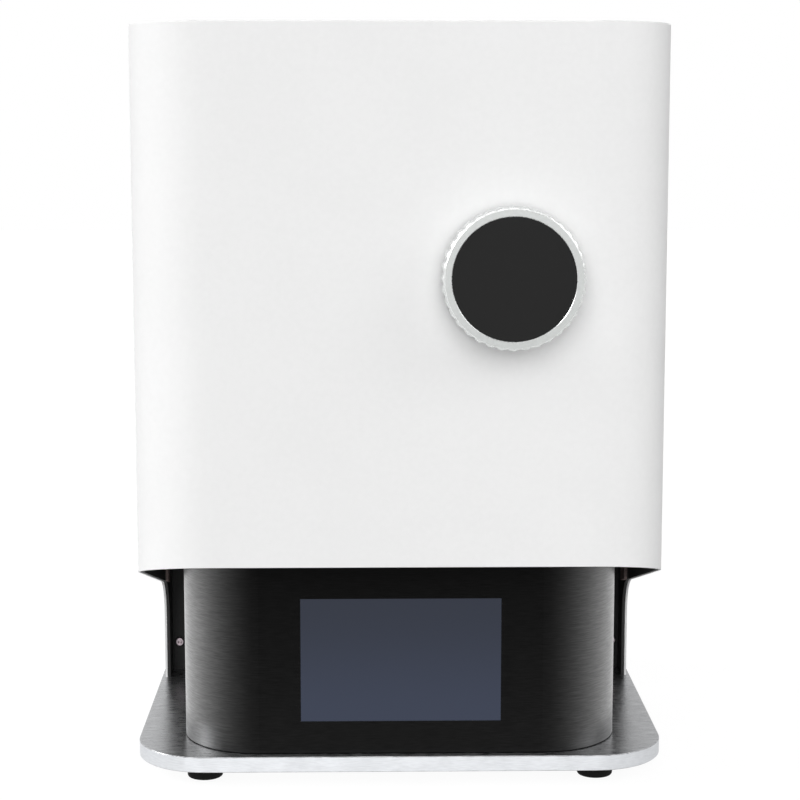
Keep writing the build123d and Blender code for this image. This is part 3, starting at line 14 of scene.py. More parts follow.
import bmesh
import bpy
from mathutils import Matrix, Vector

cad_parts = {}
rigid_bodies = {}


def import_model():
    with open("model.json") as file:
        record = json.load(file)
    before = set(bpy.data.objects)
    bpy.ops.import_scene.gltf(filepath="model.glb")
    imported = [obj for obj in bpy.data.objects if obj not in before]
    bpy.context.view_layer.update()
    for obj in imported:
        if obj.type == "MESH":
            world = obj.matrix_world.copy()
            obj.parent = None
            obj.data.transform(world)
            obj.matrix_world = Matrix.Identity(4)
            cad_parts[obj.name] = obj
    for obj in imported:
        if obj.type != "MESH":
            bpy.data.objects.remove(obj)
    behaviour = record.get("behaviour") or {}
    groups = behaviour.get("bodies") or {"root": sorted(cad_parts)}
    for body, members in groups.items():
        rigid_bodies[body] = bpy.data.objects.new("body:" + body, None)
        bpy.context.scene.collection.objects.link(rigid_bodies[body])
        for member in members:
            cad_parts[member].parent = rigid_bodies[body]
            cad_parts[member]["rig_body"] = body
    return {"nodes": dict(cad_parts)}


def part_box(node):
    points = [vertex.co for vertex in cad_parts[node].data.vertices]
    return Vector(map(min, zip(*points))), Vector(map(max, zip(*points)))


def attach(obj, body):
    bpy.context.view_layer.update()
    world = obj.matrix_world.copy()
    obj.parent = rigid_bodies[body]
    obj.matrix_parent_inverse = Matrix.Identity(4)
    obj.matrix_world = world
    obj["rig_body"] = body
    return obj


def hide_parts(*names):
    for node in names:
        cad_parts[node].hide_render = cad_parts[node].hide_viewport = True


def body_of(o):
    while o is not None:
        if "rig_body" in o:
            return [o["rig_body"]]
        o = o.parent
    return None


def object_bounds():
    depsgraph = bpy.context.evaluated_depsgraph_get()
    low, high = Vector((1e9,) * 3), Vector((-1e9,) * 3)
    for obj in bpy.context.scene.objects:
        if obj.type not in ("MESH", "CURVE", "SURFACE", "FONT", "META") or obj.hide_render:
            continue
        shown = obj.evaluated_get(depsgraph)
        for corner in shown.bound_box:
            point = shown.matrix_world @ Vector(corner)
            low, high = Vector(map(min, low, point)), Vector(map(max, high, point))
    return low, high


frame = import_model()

solid_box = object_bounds()
nodes = frame["nodes"]

# %% [markdown]
# ## Measures
#
# Everything is in metres. Only sizes that belong to a finish, such as the grain
# of a paint, are given.

# %% Measures
MM = 0.001


def span(node):
    """Lowest and highest corner of a piece"""
    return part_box(node)


def centre(node):
    """Middle of a piece"""
    low, high = span(node)
    return (low + high) / 2


def tone(red, green=None, blue=None):
    """A colour as it looks on a screen, 0 to 255, turned into the light that it sends back"""
    screen = (red, red if green is None else green, red if blue is None else blue)
    return (*[((value / 255 + 0.055) / 1.055) ** 2.4 for value in screen], 1.0)


floor_z = solid_box[0].z
size = solid_box[1] - solid_box[0]
print("size in mm:", [round(value / MM, 1) for value in size])

# %% [markdown]
# ## The camera
#
# The portrait is taken from a metre in front of the cover, a little left of the
# printer's middle and a little lower than its top, looking slightly down. Its
# place was worked out from the known width of the cover and from how the cover's
# left and right edges lean inwards. The lens is long, so the printer hardly
# distorts.

# %% Camera
camera_from_face = 983.98 * MM
camera_side = -18.42 * MM
camera_height = 343.3 * MM
camera_turn = radians(1.024)
camera_dip = radians(7.72)
lens_pixels = 1952.6
picture_pixels = 800
film_width = 36.0

face_y = span("door_shell")[0].y
look = Vector((sin(camera_turn) * cos(camera_dip), cos(camera_turn) * cos(camera_dip), -sin(camera_dip)))
lens = bpy.data.cameras.new("portrait_lens")
lens.sensor_width = film_width
lens.lens = lens_pixels / picture_pixels * film_width
camera = bpy.data.objects.new("portrait_camera", lens)
camera.location = (camera_side, face_y - camera_from_face, camera_height)
camera.rotation_mode = "QUATERNION"
camera.rotation_quaternion = look.to_track_quat("-Z", "Y")
bpy.context.scene.collection.objects.link(camera)
bpy.context.scene.camera = camera
bpy.context.scene.view_settings.view_transform = "Standard"
print("focal length in mm:", round(lens.lens, 1))

# %% [markdown]
# ## Writing a finish as arithmetic
#
# A finish is a small web of nodes. Joining them by hand hides what they say, so
# two classes do the joining. A `Shade` is a value that varies over a surface. It
# can be added, multiplied, raised to a power and taken away from a number. A
# `Finish` is one material: its `node` method makes any node, with its settings
# first and then its sockets.

# %% Shade and Finish


class Shade:
    """A value that varies over a surface, written with ordinary arithmetic"""

    def __init__(self, finish, socket):
        self.finish = finish
        self.socket = socket

    def math(self, operation, *values):
        return self.finish.node("ShaderNodeMath", {"operation": operation}, dict(enumerate(values)))

    def __add__(self, other):
        return self.math("ADD", self, other)

    def __rsub__(self, other):
        return self.math("SUBTRACT", other, self)

    def __mul__(self, other):
        return self.math("MULTIPLY", self, other)

    def __pow__(self, other):
        return self.math("POWER", self, other)

    __radd__ = __add__
    __rmul__ = __mul__


class Finish:
    """One material, and the ways of making what it needs"""

    def __init__(self, name):
        self.material = bpy.data.materials.new(name)
        self.material.use_nodes = True
        self.start(self.material.node_tree)

    def start(self, tree):
        self.tree = tree
        tree.nodes.clear()

    def node(self, kind, settings=None, values=None, out=0):
        """Make a node, set it up, fill its sockets with numbers or shades, and give one output"""
        made = self.tree.nodes.new(kind)
        for name, value in (settings or {}).items():
            setattr(made, name, value)
        for name, value in (values or {}).items():
            if isinstance(value, Shade):
                self.tree.links.new(value.socket, made.inputs[name])
            else:
                made.inputs[name].default_value = value
        return Shade(self, made.outputs[out]) if len(made.outputs) else None

    def where(self, stretch=(1.0, 1.0, 1.0)):
        """Place on the piece in metres, squeezed or stretched along each axis"""
        place = self.node("ShaderNodeTexCoord", out="Object")
        return self.node("ShaderNodeVectorMath", {"operation": "MULTIPLY"}, {0: place, 1: stretch})

    def along(self, axis):
        """Distance along X, Y or Z in metres"""
        place = self.node("ShaderNodeTexCoord", out="Object")
        return self.node("ShaderNodeSeparateXYZ", values={0: place}, out=axis)

    def facing(self, axis):
        """How far the surface faces along X, Y or Z of its own piece, from -1 to 1"""
        normal = self.node("ShaderNodeTexCoord", out="Normal")
        return self.node("ShaderNodeSeparateXYZ", values={0: normal}, out=axis)

    def grain(self, grain_size, stretch=(1.0, 1.0, 1.0), detail=2.0):
        """Cloudy noise of a real size, from 0 to 1"""
        values = {"Vector": self.where(stretch), "Scale": 1 / grain_size, "Detail": detail}
        return self.node("ShaderNodeTexNoise", {}, values)

    def rise(self, value, low, high, to_low=0.0, to_high=1.0):
        """Follow a value smoothly from one level to another"""
        values = {"Value": value, "From Min": low, "From Max": high, "To Min": to_low, "To Max": to_high}
        return self.node("ShaderNodeMapRange", {"interpolation_type": "SMOOTHSTEP"}, values)

    def mix(self, share, first, second):
        """Between two colours"""
        return self.node("ShaderNodeMix", {"data_type": "RGBA"}, {0: share, 6: first, 7: second}, out=2)

    def relief(self, height, depth):
        """The surface's normal, with a height from 0 to 1 pressed into it to a real depth"""
        return self.node("ShaderNodeBump", {}, {"Height": height, "Distance": depth, "Strength": 1.0})

    def lines(self, distance, pitch):
        """Lines that repeat at a real pitch, from 0 to 1"""
        wave = self.node("ShaderNodeMath", {"operation": "SINE"}, {0: distance * (2 * pi / pitch)})
        return self.rise(wave, -0.6, 0.6)

    def body(self, **values):
        """A coated or bare solid; a socket's name is written with _ for each space"""
        sockets = {name.replace("_", " "): value for name, value in values.items()}
        return self.node("ShaderNodeBsdfPrincipled", {}, sockets)

    def show(self, surface):
        """Send a surface to the material's output"""
        self.node("ShaderNodeOutputMaterial", {}, {"Surface": surface})
        return self.material


print("finish helpers ready")

# %% [markdown]
# ## Painted sheet
#
# The cover is steel sheet with a smooth white powder coat. Powder melts into a
# film with a faint, rounded orange peel and a much finer tooth on top. Both are
# only a few hundredths of a millimetre high, so they show as a slight softness in
# the light and not as a pattern. The inside faces have the same paint in black.

# %% Painted sheet


def powder_coat(name, colour, shadow, gloss_low, gloss_high, shine, peel=3.2 * MM, tooth=0.35 * MM):
    """Powder coat with orange peel and a fine tooth"""
    coat = Finish(name)
    waves = coat.grain(peel)
    dots = coat.grain(tooth, detail=1.0)
    drift = coat.grain(60 * MM)
    height = waves * 0.75 + dots * 0.25
    share = coat.rise(waves * 0.5 + drift * 0.5, 0.35, 0.65)
    return coat.show(coat.body(
        Base_Color=coat.mix(share, shadow, colour),
        Roughness=coat.rise(dots * 0.5 + drift * 0.5, 0.3, 0.7, gloss_low, gloss_high),
        Specular_IOR_Level=shine,
        Normal=coat.relief(height, 0.03 * MM),
    ))


finishes = {
    "white_paint": powder_coat("white_paint", tone(239), tone(237), 0.5, 0.6, 0.08),
    "black_paint": powder_coat("black_paint", tone(57), tone(51), 0.5, 0.65, 0.12, peel=1.2 * MM),
}
print("painted:", sorted(finishes))

# %% [markdown]
# ## Brushed black pod
#
# The pod is aluminium sheet, brushed along its length and then dyed black. Seen
# square on, the dye swallows the light and only faint streaks remain. Towards the
# rounded corners the surface is seen at a slant, and there the clear oxide layer
# sends the light back as a pale, streaky glow. A layer weight gives that slant,
# and mixes a dark dyed surface with a bright brushed one. Along the lowest edge,
# where the sheet meets the plate, the glow is taken out as a painted contact shadow.

# %% Brushed black pod


def brushed_black(name):
    """Dyed black aluminium with level brush lines"""
    sheet = Finish(name)
    lines = sheet.grain(1.0 * MM, stretch=(0.1, 0.1, 2.6), detail=3.0)
    hairs = sheet.grain(1.0 * MM, stretch=(0.22, 0.22, 6.0), detail=1.0)
    streaks = lines * 0.6 + hairs * 0.4
    slant = sheet.node("ShaderNodeLayerWeight", {}, {"Blend": 0.5}, out="Facing")
    foot = span("pod_shell")[0].z
    # Painted contact shadow: no glow in the lowest 0.8 mm, so a thin dark line shows where the pod meets
    # the plate
    above_painted_contact_shadow = sheet.rise(sheet.along("Z"), foot + 0.2 * MM, foot + 0.8 * MM)
    glow = (slant ** 1.45) * sheet.rise(streaks, 0.3, 0.7, 0.56, 0.86) * above_painted_contact_shadow
    brushed = sheet.relief(streaks, 0.02 * MM)
    dyed = sheet.body(
        Base_Color=sheet.mix(sheet.rise(streaks, 0.35, 0.7), tone(5), tone(13)),
        Roughness=sheet.rise(streaks, 0.3, 0.7, 0.5, 0.7),
        IOR=1.04,
        Normal=brushed,
    )
    clear = sheet.body(
        Base_Color=tone(240),
        Metallic=1.0,
        Roughness=sheet.rise(streaks, 0.3, 0.7, 0.32, 0.42),
        Normal=brushed,
    )
    return sheet.show(sheet.node("ShaderNodeMixShader", {}, {0: glow, 1: dyed, 2: clear}))


finishes["black_brushed"] = brushed_black("black_brushed")
print("brushed black ready")

# %% [markdown]
# ## Bare and brushed metal
#
# The base plate's top is brushed from side to side and its edge is machined
# bright, so the finish looks at which way the surface faces. The knob does the
# same: its ring is satin in front, and the ribs behind it are polished. The lift,
# the posts and the heat sink are satin anodised aluminium, the screws and the
# rail are steel, and the nut is brass. They differ in colour, in polish and in
# which way the tool marks run.

# %% Bare and brushed metal


def brushed_metal(name, colour, shadow, polish, stretch, depth=0.012 * MM):
    """Metal with tool marks drawn out along the least stretched axis"""
    metal = Finish(name)
    marks = metal.grain(1.0 * MM, stretch=stretch, detail=3.0)
    clouds = metal.grain(25 * MM)
    return metal.show(metal.body(
        Base_Color=metal.mix(metal.rise(marks * 0.7 + clouds * 0.3, 0.35, 0.65), shadow, colour),
        Metallic=1.0,
        Roughness=metal.rise(marks * 0.6 + clouds * 0.4, 0.3, 0.7, polish, polish + 0.14),
        Normal=metal.relief(marks, depth),
    ))


def plate_finish(name):
    """Brushed top and underside, bright machined edge"""
    plate = Finish(name)
    lines = plate.grain(1.0 * MM, stretch=(0.12, 2.4, 0.12), detail=3.0)
    turning = plate.grain(1.0 * MM, stretch=(0.2, 0.2, 2.5), detail=1.0)
    upright = plate.facing("Z")
    level = plate.rise(upright * upright, 0.2, 0.45)
    brushed = plate.mix(plate.rise(lines, 0.35, 0.65), tone(154, 155, 157), tone(200, 201, 203))
    machined = plate.mix(plate.rise(turning, 0.35, 0.65), tone(208, 210, 213), tone(216, 218, 221))
    height = lines * level + turning * (1 - level)
    return plate.show(plate.body(
        Base_Color=plate.mix(level, machined, brushed),
        Metallic=1.0,
        Roughness=plate.rise(level, 0, 1, 0.38, 0.22) + plate.rise(lines, 0.3, 0.7, 0.0, 0.12),
        Specular_Tint=tone(240),
        Normal=plate.relief(height, 0.02 * MM),
    ))


def knob_finish(name):
    """A satin ring on the front, and ribs polished bright behind it"""
    knob = Finish(name)
    forward = knob.facing("Y")
    satin = knob.rise(forward * forward, 0.75, 0.95)
    marks = knob.grain(1.0 * MM, stretch=(0.8, 0.8, 0.8), detail=3.0)
    ring = knob.mix(knob.rise(marks, 0.35, 0.65), tone(168, 170, 169), tone(173, 175, 174))
    polished = knob.mix(knob.rise(marks, 0.35, 0.65), tone(222, 224, 223), tone(232, 234, 233))
    return knob.show(knob.body(
        Base_Color=knob.mix(satin, polished, ring),
        Metallic=1.0,
        Roughness=knob.rise(satin, 0, 1, 0.24, 0.38) + knob.rise(marks, 0.3, 0.7, 0.0, 0.08),
        Normal=knob.relief(marks, 0.01 * MM),
    ))


finishes.update({
    "plate_metal": plate_finish("plate_metal"),
    "bare_metal": brushed_metal(
        "bare_metal", tone(205, 206, 208), tone(186, 187, 190), 0.3, (0.6, 0.6, 0.6)),
    "steel": brushed_metal("steel", tone(171, 160, 164), tone(146, 135, 140), 0.22, (1.0, 1.0, 1.0)),
    "black_steel": brushed_metal("black_steel", tone(46), tone(30), 0.35, (1.2, 1.2, 1.2)),
    "knob_grey": knob_finish("knob_grey"),
    "vat_metal": brushed_metal("vat_metal", tone(66, 67, 70), tone(50, 51, 54), 0.32, (0.7, 0.7, 0.7)),
    "brass": brushed_metal("brass", tone(214, 178, 104), tone(186, 148, 78), 0.25, (1.5, 1.5, 0.3)),
})
print("metals ready:", len(finishes))

# %% [markdown]
# ## Plastic, rubber and foam
#
# Moulded plastic has a fine spark-eroded grain from its mould. Rubber is duller,
# with a powdery bloom, and the foam of the light seals is full of small open
# cells, which a Voronoi pattern gives.

# %% Plastic, rubber and foam


def moulded(name, colour, shadow, gloss_low, gloss_high, shine, grain_size=0.5 * MM, depth=0.02 * MM):
    """Moulded plastic or rubber with a fine grain"""
    skin = Finish(name)
    pits = skin.grain(grain_size, detail=3.0)
    bloom = skin.grain(14 * MM)
    return skin.show(skin.body(
        Base_Color=skin.mix(skin.rise(pits * 0.5 + bloom * 0.5, 0.35, 0.65), shadow, colour),
        Roughness=skin.rise(pits * 0.4 + bloom * 0.6, 0.3, 0.7, gloss_low, gloss_high),
        Specular_IOR_Level=shine,
        Normal=skin.relief(pits, depth),
    ))


def foam(name, colour, shadow):
    """Open-cell foam rubber"""
    strip = Finish(name)
    cells = strip.node("ShaderNodeTexVoronoi", {}, {"Vector": strip.where(), "Scale": 1 / (0.7 * MM)})
    return strip.show(strip.body(
        Base_Color=strip.mix(strip.rise(cells, 0.1, 0.6), shadow, colour),
        Specular_IOR_Level=0.1,
        Roughness=strip.rise(cells, 0.1, 0.6, 0.95, 0.8),
        Normal=strip.relief(cells, 0.15 * MM),
    ))


finishes.update({
    "black_plastic": moulded("black_plastic", tone(30), tone(24), 0.42, 0.58, 0.35),
    "knob_black": moulded("knob_black", tone(30), tone(28), 0.5, 0.6, 0.12, 0.3 * MM, 0.008 * MM),
    "rubber": moulded("rubber", tone(20), tone(15), 0.7, 0.85, 0.15, 0.8 * MM, 0.04 * MM),
    "seal_brown": foam("seal_brown", tone(136, 121, 118), tone(96, 85, 83)),
    "board_green": moulded("board_green", tone(20, 96, 58), tone(14, 78, 46), 0.3, 0.45, 0.5, 1.5 * MM),
})
print("soft and moulded ready:", len(finishes))

# %% [markdown]
# ## Glass, film and lenses
#
# The touch screen is lit from behind: a dark slate that is a little lighter and
# bluer at the bottom. The light it sends out carries its colour, and the glass
# over it adds only a faint gloss. The layer display in the deck is the same kind
# of panel switched off, with its fine grid of cells. The vat's film and the lamp
# lenses are clear plastic.

# %% Glass, film and lenses


def lit_screen(name):
    """Cover glass over a lit dark panel, with a soft step from top to bottom"""
    low, high = span("touch_glass")
    screen = Finish(name)
    height = screen.rise(screen.along("Z"), low.z, high.z)
    cells = screen.grain(0.3 * MM, detail=0.0)
    slate = screen.mix(height, tone(62, 68, 84), tone(54, 58, 69))
    light = screen.mix(screen.rise(cells, 0.2, 0.8, 0.0, 0.03), slate, tone(0))
    return screen.show(screen.body(
        Base_Color=tone(4, 4, 5),
        Roughness=screen.rise(screen.grain(20 * MM), 0.3, 0.7, 0.3, 0.36),
        Specular_IOR_Level=0.05,
        Emission_Color=light,
        Emission_Strength=1.0,
    ))


def dark_panel(name):
    """A switched-off panel with a fine square grid behind its glass"""
    panel = Finish(name)
    pitch = 0.9 * MM
    column = panel.lines(panel.along("X"), pitch)
    row = panel.lines(panel.along("Y"), pitch)
    return panel.show(panel.body(
        Base_Color=panel.mix(column * row, tone(16, 17, 22), tone(30, 32, 42)),
        Roughness=panel.rise(panel.grain(30 * MM), 0.3, 0.7, 0.08, 0.16),
        Coat_Weight=0.6,
    ))


def clear_plastic(name, colour, gloss):
    """Clear moulded plastic with faint flow marks"""
    clear = Finish(name)
    flow = clear.grain(6 * MM)
    return clear.show(clear.body(
        Base_Color=clear.mix(flow, colour, tone(250)),
        Roughness=clear.rise(flow, 0.3, 0.7, gloss, gloss + 0.08),
        Transmission_Weight=0.7,
        IOR=1.4,
        Normal=clear.relief(flow, 0.02 * MM),
    ))


finishes.update({
    "screen_glass": lit_screen("screen_glass"),
    "mask_glass": dark_panel("mask_glass"),
    "lens_clear": clear_plastic("lens_clear", tone(215, 220, 224), 0.05),
    "film": clear_plastic("film", tone(196, 199, 203), 0.12),
})
print("finishes:", len(finishes))

# %% [markdown]
# ## Give each piece its finish
#
# Each piece arrived with a slot named after its finish, so the right material is
# looked up by that name.

# %% Give each piece its finish
for node in nodes.values():
    for slot in node.material_slots:
        slot.material = finishes[slot.material.name.split(".")[0]]
print("dressed:", len(nodes))

# %% [markdown]
# ## Turned pieces
#
# The knob, the feet, the screws and the lead screw are all round about an axis,
# so one function makes them as a lathe would: it draws a ring for each step of a
# profile and joins the rings. A swell, added to each ring's radius, cuts the
# flutes, the threads and the six-sided sockets.
#
# A remade piece moves with the body of the piece that it stands for, and keeps its
# finish. The soft edges come from the angle between the faces, so that a chamfer
# stays crisp and a dome stays smooth.

# %% Turned pieces


def add_turned(mesh, start, axis, profile, steps, swell=None):
    """Add a turned solid: rings of (distance along the axis, radius), closed at both ends"""
    turn = Vector(axis).to_track_quat("Z", "Y")
    rings = []
    for distance, radius in profile:
        ring = []
        for number in range(steps):
            angle = 2 * pi * number / steps
            reach = radius + (swell(angle, distance, radius) if swell else 0)
            place = Vector((reach * cos(angle), reach * sin(angle), distance))
            ring.append(mesh.verts.new(start + turn @ place))
        rings.append(ring)
    for lower, upper in zip(rings, rings[1:]):
        for number in range(steps):
            after = (number + 1) % steps
            mesh.faces.new((lower[number], lower[after], upper[after], upper[number]))
    mesh.faces.new(reversed(rings[0]))
    mesh.faces.new(rings[-1])


def stand_in(name, mesh, node, crease=35):
    """Turn a mesh into a piece that stands for a node, with its finish and its way of moving"""
    data = bpy.data.meshes.new(name)
    bmesh.ops.recalc_face_normals(mesh, faces=mesh.faces)
    mesh.to_mesh(data)
    mesh.free()
    data.shade_smooth()
    data.set_sharp_from_angle(angle=radians(crease))
    finish = nodes[node].material_slots[0].material
    data.materials.append(finish)
    made = bpy.data.objects.new(name, data)
    bpy.context.scene.collection.objects.link(made)
    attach(made, body_of(nodes[node])[0])
    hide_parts(node)
    print(name, "faces:", len(data.polygons))


def parts_of(node):
    """The loose solids of a node, each as its list of corners"""
    mesh = bmesh.new()
    mesh.from_mesh(nodes[node].data)
    bmesh.ops.remove_doubles(mesh, verts=mesh.verts, dist=0.001 * MM)
    place = nodes[node].matrix_world
    waiting = set(mesh.verts)
    found = []
    while waiting:
        edge = [waiting.pop()]
        solid = []
        while edge:
            corner = edge.pop()
            solid.append(place @ corner.co)
            for link in corner.link_edges:
                other = link.other_vert(corner)
                if other in waiting:
                    waiting.remove(other)
                    edge.append(other)
        found.append(solid)
    mesh.free()
    return found


def box_of(corners):
    """Lowest and highest corner of one loose solid"""
    low = Vector([min(corner[axis] for corner in corners) for axis in range(3)])
    high = Vector([max(corner[axis] for corner in corners) for axis in range(3)])
    return low, high


# %% [markdown]
# ## The door knob
#
# A smooth pale ring frames the black disc. Behind it the grip swells out to
# thirty-six rounded ribs, which is what the fingers hold. From the front only
# their tops show, as a row of small bright bumps along the upper left. The ring's
# inner and outer edges have a fine chamfer that catches the light.

# %% The door knob
knob_low, knob_high = span("knob_body")
knob_middle = centre("knob_body")
knob_ribs = 36
steps_per_rib = 16
bend_steps = 6
rib_depth = 1.1 * MM
rib_radius = (knob_high.x - knob_low.x) / 2
ring_radius = 34.8 * MM
ring_height = 1.2 * MM
chamfer = 0.35 * MM
step_back = 0.1 * MM
disc_gap = 0.1 * MM
disc_low, disc_high = span("knob_face")
disc_radius = (disc_high.x - disc_low.x) / 2 + disc_gap
neck_radius = 20 * MM
reach = face_y - knob_low.y
neck_start = face_y - knob_high.y
grip_start = 3.5 * MM
grip_end = reach - ring_height
shoulder = 2.6 * MM


def ribs(angle, distance, radius):
    """Rounded ribs, as deep as the grip is wide there"""
    if radius <= ring_radius or distance > grip_end:
        return 0.0
    share = min(1.0, (radius - ring_radius) / (rib_radius - ring_radius))
    return -rib_depth * share * (1 - abs(cos(knob_ribs * angle / 2)))


knob_profile = [(neck_start, neck_radius), (grip_start, neck_radius), (grip_start, ring_radius - chamfer)]
for number in range(bend_steps + 1):
    bend = pi / 2 * number / bend_steps
    knob_profile.append((grip_start + shoulder / 2 * (1 - cos(bend)),
                         ring_radius + (rib_radius - ring_radius) * sin(bend)))
for number in range(bend_steps + 1):
    bend = pi / 2 * (1 - number / bend_steps)
    knob_profile.append((grip_end - shoulder * (1 - cos(bend)) - step_back,
                         ring_radius + (rib_radius - ring_radius) * sin(bend)))
knob_profile += [
    (grip_end, ring_radius - chamfer),
    (grip_end + step_back, ring_radius),
    (reach - chamfer, ring_radius),
    (reach, ring_radius - chamfer),
    (reach, disc_radius + chamfer),
    (reach - chamfer, disc_radius),
    (reach - ring_height, disc_radius),
]
knob_mesh = bmesh.new()
knob_start = Vector((knob_middle.x, face_y, knob_middle.z))
add_turned(knob_mesh, knob_start, (0, -1, 0), knob_profile, knob_ribs * steps_per_rib, ribs)
stand_in("knob_ring_and_grip", knob_mesh, "knob_body", crease=30)

# %% [markdown]
# ## The feet
#
# Each rubber foot is a thick disc. Its lower edge is well rounded, because the
# mould leaves it so and because it then slides on a bench without catching. A
# shallow cup underneath is the mould's mark.

# %% The feet
foot_mesh = bmesh.new()
foot_round = 1.5 * MM
foot_draft = 0.6
foot_bevel = 0.4 * MM
foot_cup = 3.5 * MM
cup_depth = 0.8 * MM
cup_bevel = 0.3 * MM
round_steps = 8
foot_steps = 72
for corners in parts_of("rubber_feet"):
    low, high = box_of(corners)
    radius = (high.x - low.x) / 2
    height = high.z - low.z
    profile = [(cup_depth, foot_cup), (0.0, foot_cup + cup_bevel)]
    for number in range(round_steps + 1):
        bend = pi / 2 * number / round_steps
        profile.append((foot_round * (1 - cos(bend)), radius - foot_round * foot_draft * (1 - sin(bend))))
    profile += [(height - foot_bevel, radius), (height, radius - foot_bevel)]
    under = Vector(((low.x + high.x) / 2, (low.y + high.y) / 2, low.z))
    add_turned(foot_mesh, under, (0, 0, 1), profile, foot_steps)
stand_in("round_rubber_feet", foot_mesh, "rubber_feet")

# %% [markdown]
# ## The screws
#
# The plain screws give the place, the axis and the sizes, which are measured from
# the corners of each one. The remade screw has a rolled thread, a domed head and a
# six-sided socket. A flat head keeps its cone.

# %% The screws
socket_share = 0.46
socket_depth = 0.9
socket_lip = 1.16
tip_share = 0.75
crown_share = 0.45
dome_share = 0.22
dome_steps = 7
head_edge = 0.1 * MM
flat_edge = 0.15 * MM
socket_edge = 0.08 * MM
thread_pitch = 0.7 * MM
thread_cut = 0.06
wider_than_shank = 1.05
around_screw = 36


def measure_screw(corners):
    """Start, axis, length, shank radius, head radius and head height of one plain screw"""
    low, high = box_of(corners)
    sides = high - low
    along = max(range(3), key=lambda axis: min(abs(sides[axis] - sides[other])
                                               for other in range(3) if other != axis))
    axis = Vector([1.0 if number == along else 0.0 for number in range(3)])
    middle = (low + high) / 2

    def radius_of(corner):
        return ((corner - middle) - axis * (corner - middle).dot(axis)).length

    widest = max(corners, key=radius_of)
    if (widest - middle).dot(axis) < 0:
        axis = -axis
    half = sides[along] / 2
    head_radius = radius_of(widest)
    tip = [radius_of(corner) for corner in corners if (corner - middle).dot(axis) < head_edge - half]
    shank_radius = max(tip)
    clear_of_shank = shank_radius * wider_than_shank
    wide = [(corner - middle).dot(axis) for corner in corners if radius_of(corner) > clear_of_shank]
    return middle - axis * half, axis, 2 * half, shank_radius, head_radius, half - min(wide)


def add_screw(mesh, corners, flat):
    """A screw with a rolled thread and a socket, in the place of a plain one"""
    start, axis, length, shank, head, head_height = measure_screw(corners)
    socket = head * socket_share
    neck = length - head_height
    profile = [(0.0, shank * tip_share)]
    turns = int(neck / thread_pitch)
    for number in range(turns):
        profile.append(((number + 0.25) * neck / turns, shank))
        profile.append(((number + 0.75) * neck / turns, shank * (1 - thread_cut)))
    profile.append((neck, shank))
    if flat:
        profile += [(length - flat_edge, head), (length, head - head_edge)]
    else:
        profile += [(neck, head - head_edge), (neck + head_edge, head)]
        crown = head_height * crown_share
        for number in range(dome_steps + 1):
            bend = pi / 2 * number / dome_steps
            profile.append((length - crown * (1 - sin(bend)), head - head * dome_share * (1 - cos(bend))))
    profile += [
        (length, socket * socket_lip),
        (length - socket_edge, socket),
        (length - head_height * socket_depth, socket),
    ]

    def six_sided(angle, distance, radius):
        if radius != socket:
            return 0.0
        side = (angle % (pi / 3)) - pi / 6
        return radius * (cos(pi / 6) / cos(side) - 1)

    add_turned(mesh, start, axis, profile, around_screw, six_sided)


for node, flat in (("large_flat_screws", True), ("foot_screws", True), ("medium_pan_screws", False),
                   ("small_pan_screws", False), ("ring_screws", False), ("leaf_screws", False),
                   ("latch_screw", False)):
    screw_mesh = bmesh.new()
    solids = parts_of(node)
    for corners in solids:
        add_screw(screw_mesh, corners, flat)
    stand_in("remade_" + node, screw_mesh, node)
    print("   screws:", len(solids))

# %% [markdown]
# ## The lead screw
#
# The screw that lifts the platform has a trapezoidal thread with four starts. One
# turn of it lifts by four pitches, which is 8 mm. The thread is a swell that runs
# round and up together.

# %% The lead screw
thread_lift = 8 * MM
thread_starts = 4
thread_depth = 0.9 * MM
low, high = span("lead_screw")
screw_radius = (high.x - low.x) / 2
screw_length = high.z - low.z
lead_in = 1 * MM
threaded = screw_length - 2 * lead_in
ring_step = 0.5 * MM
screw_steps = 32
crest_share = 0.15
flank_share = 0.2
levels = int(threaded / ring_step)


def four_starts(angle, distance, radius):
    """Flanks that rise with the angle, with flat tops and flat roots"""
    if radius < screw_radius:
        return 0.0
    phase = (thread_starts * (distance / thread_lift - angle / (2 * pi))) % 1.0
    slope = min(1.0, max(0.0, (abs(phase - 0.5) - crest_share) / flank_share))
    return -thread_depth * slope


screw_profile = [(0.0, screw_radius - thread_depth)]
for number in range(levels + 1):
    screw_profile.append((lead_in + threaded * number / levels, screw_radius))
screw_profile.append((screw_length, screw_radius - thread_depth))
lead_mesh = bmesh.new()
lead_middle = centre("lead_screw")
lead_start = Vector((lead_middle.x, lead_middle.y, low.z))
add_turned(lead_mesh, lead_start, (0, 0, 1), screw_profile, screw_steps, four_starts)
stand_in("threaded_lead_screw", lead_mesh, "lead_screw", crease=50)

# %% [markdown]
# ## The studio
#
# Five very large soft lamps, far enough away to light the whole height evenly. One
# stands fully to the left, so that the cover's left corner is its lightest part,
# and a weaker one on the right keeps that side from going dark. One in front and
# high throws the knob's soft shadow straight down. The widest is low and almost
# straight ahead, and softens that shadow. The last one stands low behind the
# printer, for whoever walks round it, and is left out of what metal mirrors.
#
# The sky fills in from all around. What the camera sees of the room is plain
# white. What glossy metal and glass see is white too, and a little less so on the
# right, where the brightest lamp doesn't reach.

# %% Lamps and sky
fill = 0.1
dim_from = -0.15
dim_to = 0.2
right_share = 0.78


def lamp(name, turn, height, softness, strength, mirrored=True):
    """A large soft lamp, so many degrees to the right of the printer's front and above the bench"""
    light = bpy.data.lights.new(name, "SUN")
    light.angle = radians(softness)
    light.energy = strength
    made = bpy.data.objects.new(name, light)
    level = cos(radians(height))
    towards = Vector((sin(radians(turn)) * level, -cos(radians(turn)) * level, sin(radians(height))))
    made.rotation_mode = "QUATERNION"
    made.rotation_quaternion = (-towards).to_track_quat("-Z", "Y")
    made.visible_glossy = mirrored
    bpy.context.scene.collection.objects.link(made)


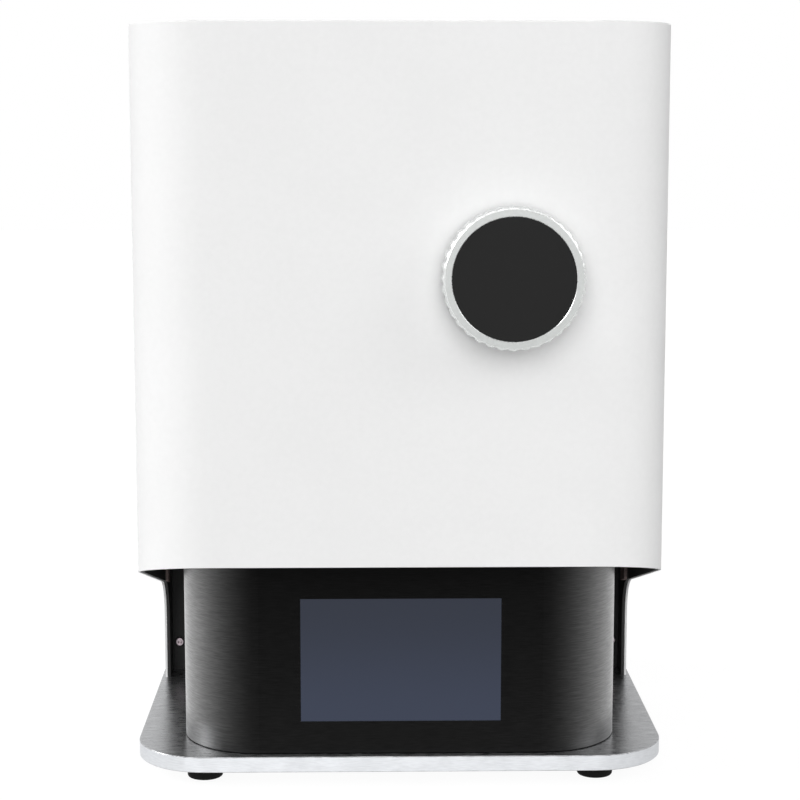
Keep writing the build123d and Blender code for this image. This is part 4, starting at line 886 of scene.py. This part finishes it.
lamp("left_lamp", turn=-90, height=30, softness=30, strength=1.95)
lamp("high_lamp", turn=-5, height=40, softness=50, strength=0.9)
lamp("front_lamp", turn=-5, height=14, softness=65, strength=1.42)
lamp("right_lamp", turn=70, height=30, softness=40, strength=0.9)
lamp("back_lamp", turn=180, height=10, softness=40, strength=1.3, mirrored=False)


class Room(Finish):
    """The room's own light, built with the same helpers as a finish"""

    def __init__(self, world):
        self.start(world.node_tree)

    def dimmer_right(self):
        """1 on the left of the floor and the sky, and less on the right, away from the brightest lamp"""
        return self.rise(self.along("X"), dim_from, dim_to, 1.0, right_share)

    def seen(self):
        """1 for what the camera, a mirror or glass looks at, 0 for light that only fills in"""
        kinds = ("Is Camera Ray", "Is Glossy Ray", "Is Transmission Ray")
        camera_ray, glossy_ray, glass_ray = [self.node("ShaderNodeLightPath", out=kind) for kind in kinds]
        mirrored = camera_ray.math("MAXIMUM", glossy_ray, glass_ray) * self.dimmer_right()
        return camera_ray.math("MAXIMUM", camera_ray, mirrored)


sky = bpy.data.worlds.new("studio")
bpy.context.scene.world = sky
sky.use_nodes = True
room = Room(sky)
strength = room.seen() * (1.0 - fill) + fill
backdrop = room.node("ShaderNodeBackground", {}, {"Color": tone(255), "Strength": strength})
room.node("ShaderNodeOutputWorld", {}, {"Surface": backdrop})

# %% [markdown]
# ## The floor
#
# The floor is a plain pale surface, mixed with white that is only there when it is
# looked at. So the ground stays as white as the backdrop, and the printer's
# shadow still rests on it.

# %% Floor
floor_reach = 6.0
white_share = 0.8
white_strength = 1.16
floor_mesh = bmesh.new()
bmesh.ops.create_grid(floor_mesh, x_segments=8, y_segments=8, size=floor_reach)
floor_data = bpy.data.meshes.new("studio_floor")
floor_mesh.to_mesh(floor_data)
floor_mesh.free()
floor = bpy.data.objects.new("studio_floor", floor_data)
floor.location.z = floor_z
bpy.context.scene.collection.objects.link(floor)

ground_material = bpy.data.materials.new("studio_floor")
ground_material.use_nodes = True
ground = Room(ground_material)
scuffs = ground.rise(ground.grain(40 * MM), 0.3, 0.7)
plain = ground.body(Base_Color=ground.mix(scuffs, tone(186), tone(190)), Roughness=0.9)
white = ground.node("ShaderNodeEmission", {}, {"Color": tone(255), "Strength": white_strength})
ground_mix = ground.node("ShaderNodeMixShader", {}, {0: ground.seen() * white_share, 1: plain, 2: white})
ground.node("ShaderNodeOutputMaterial", {}, {"Surface": ground_mix})
floor_data.materials.append(ground_material)
print("floor at z =", round(floor_z, 4))
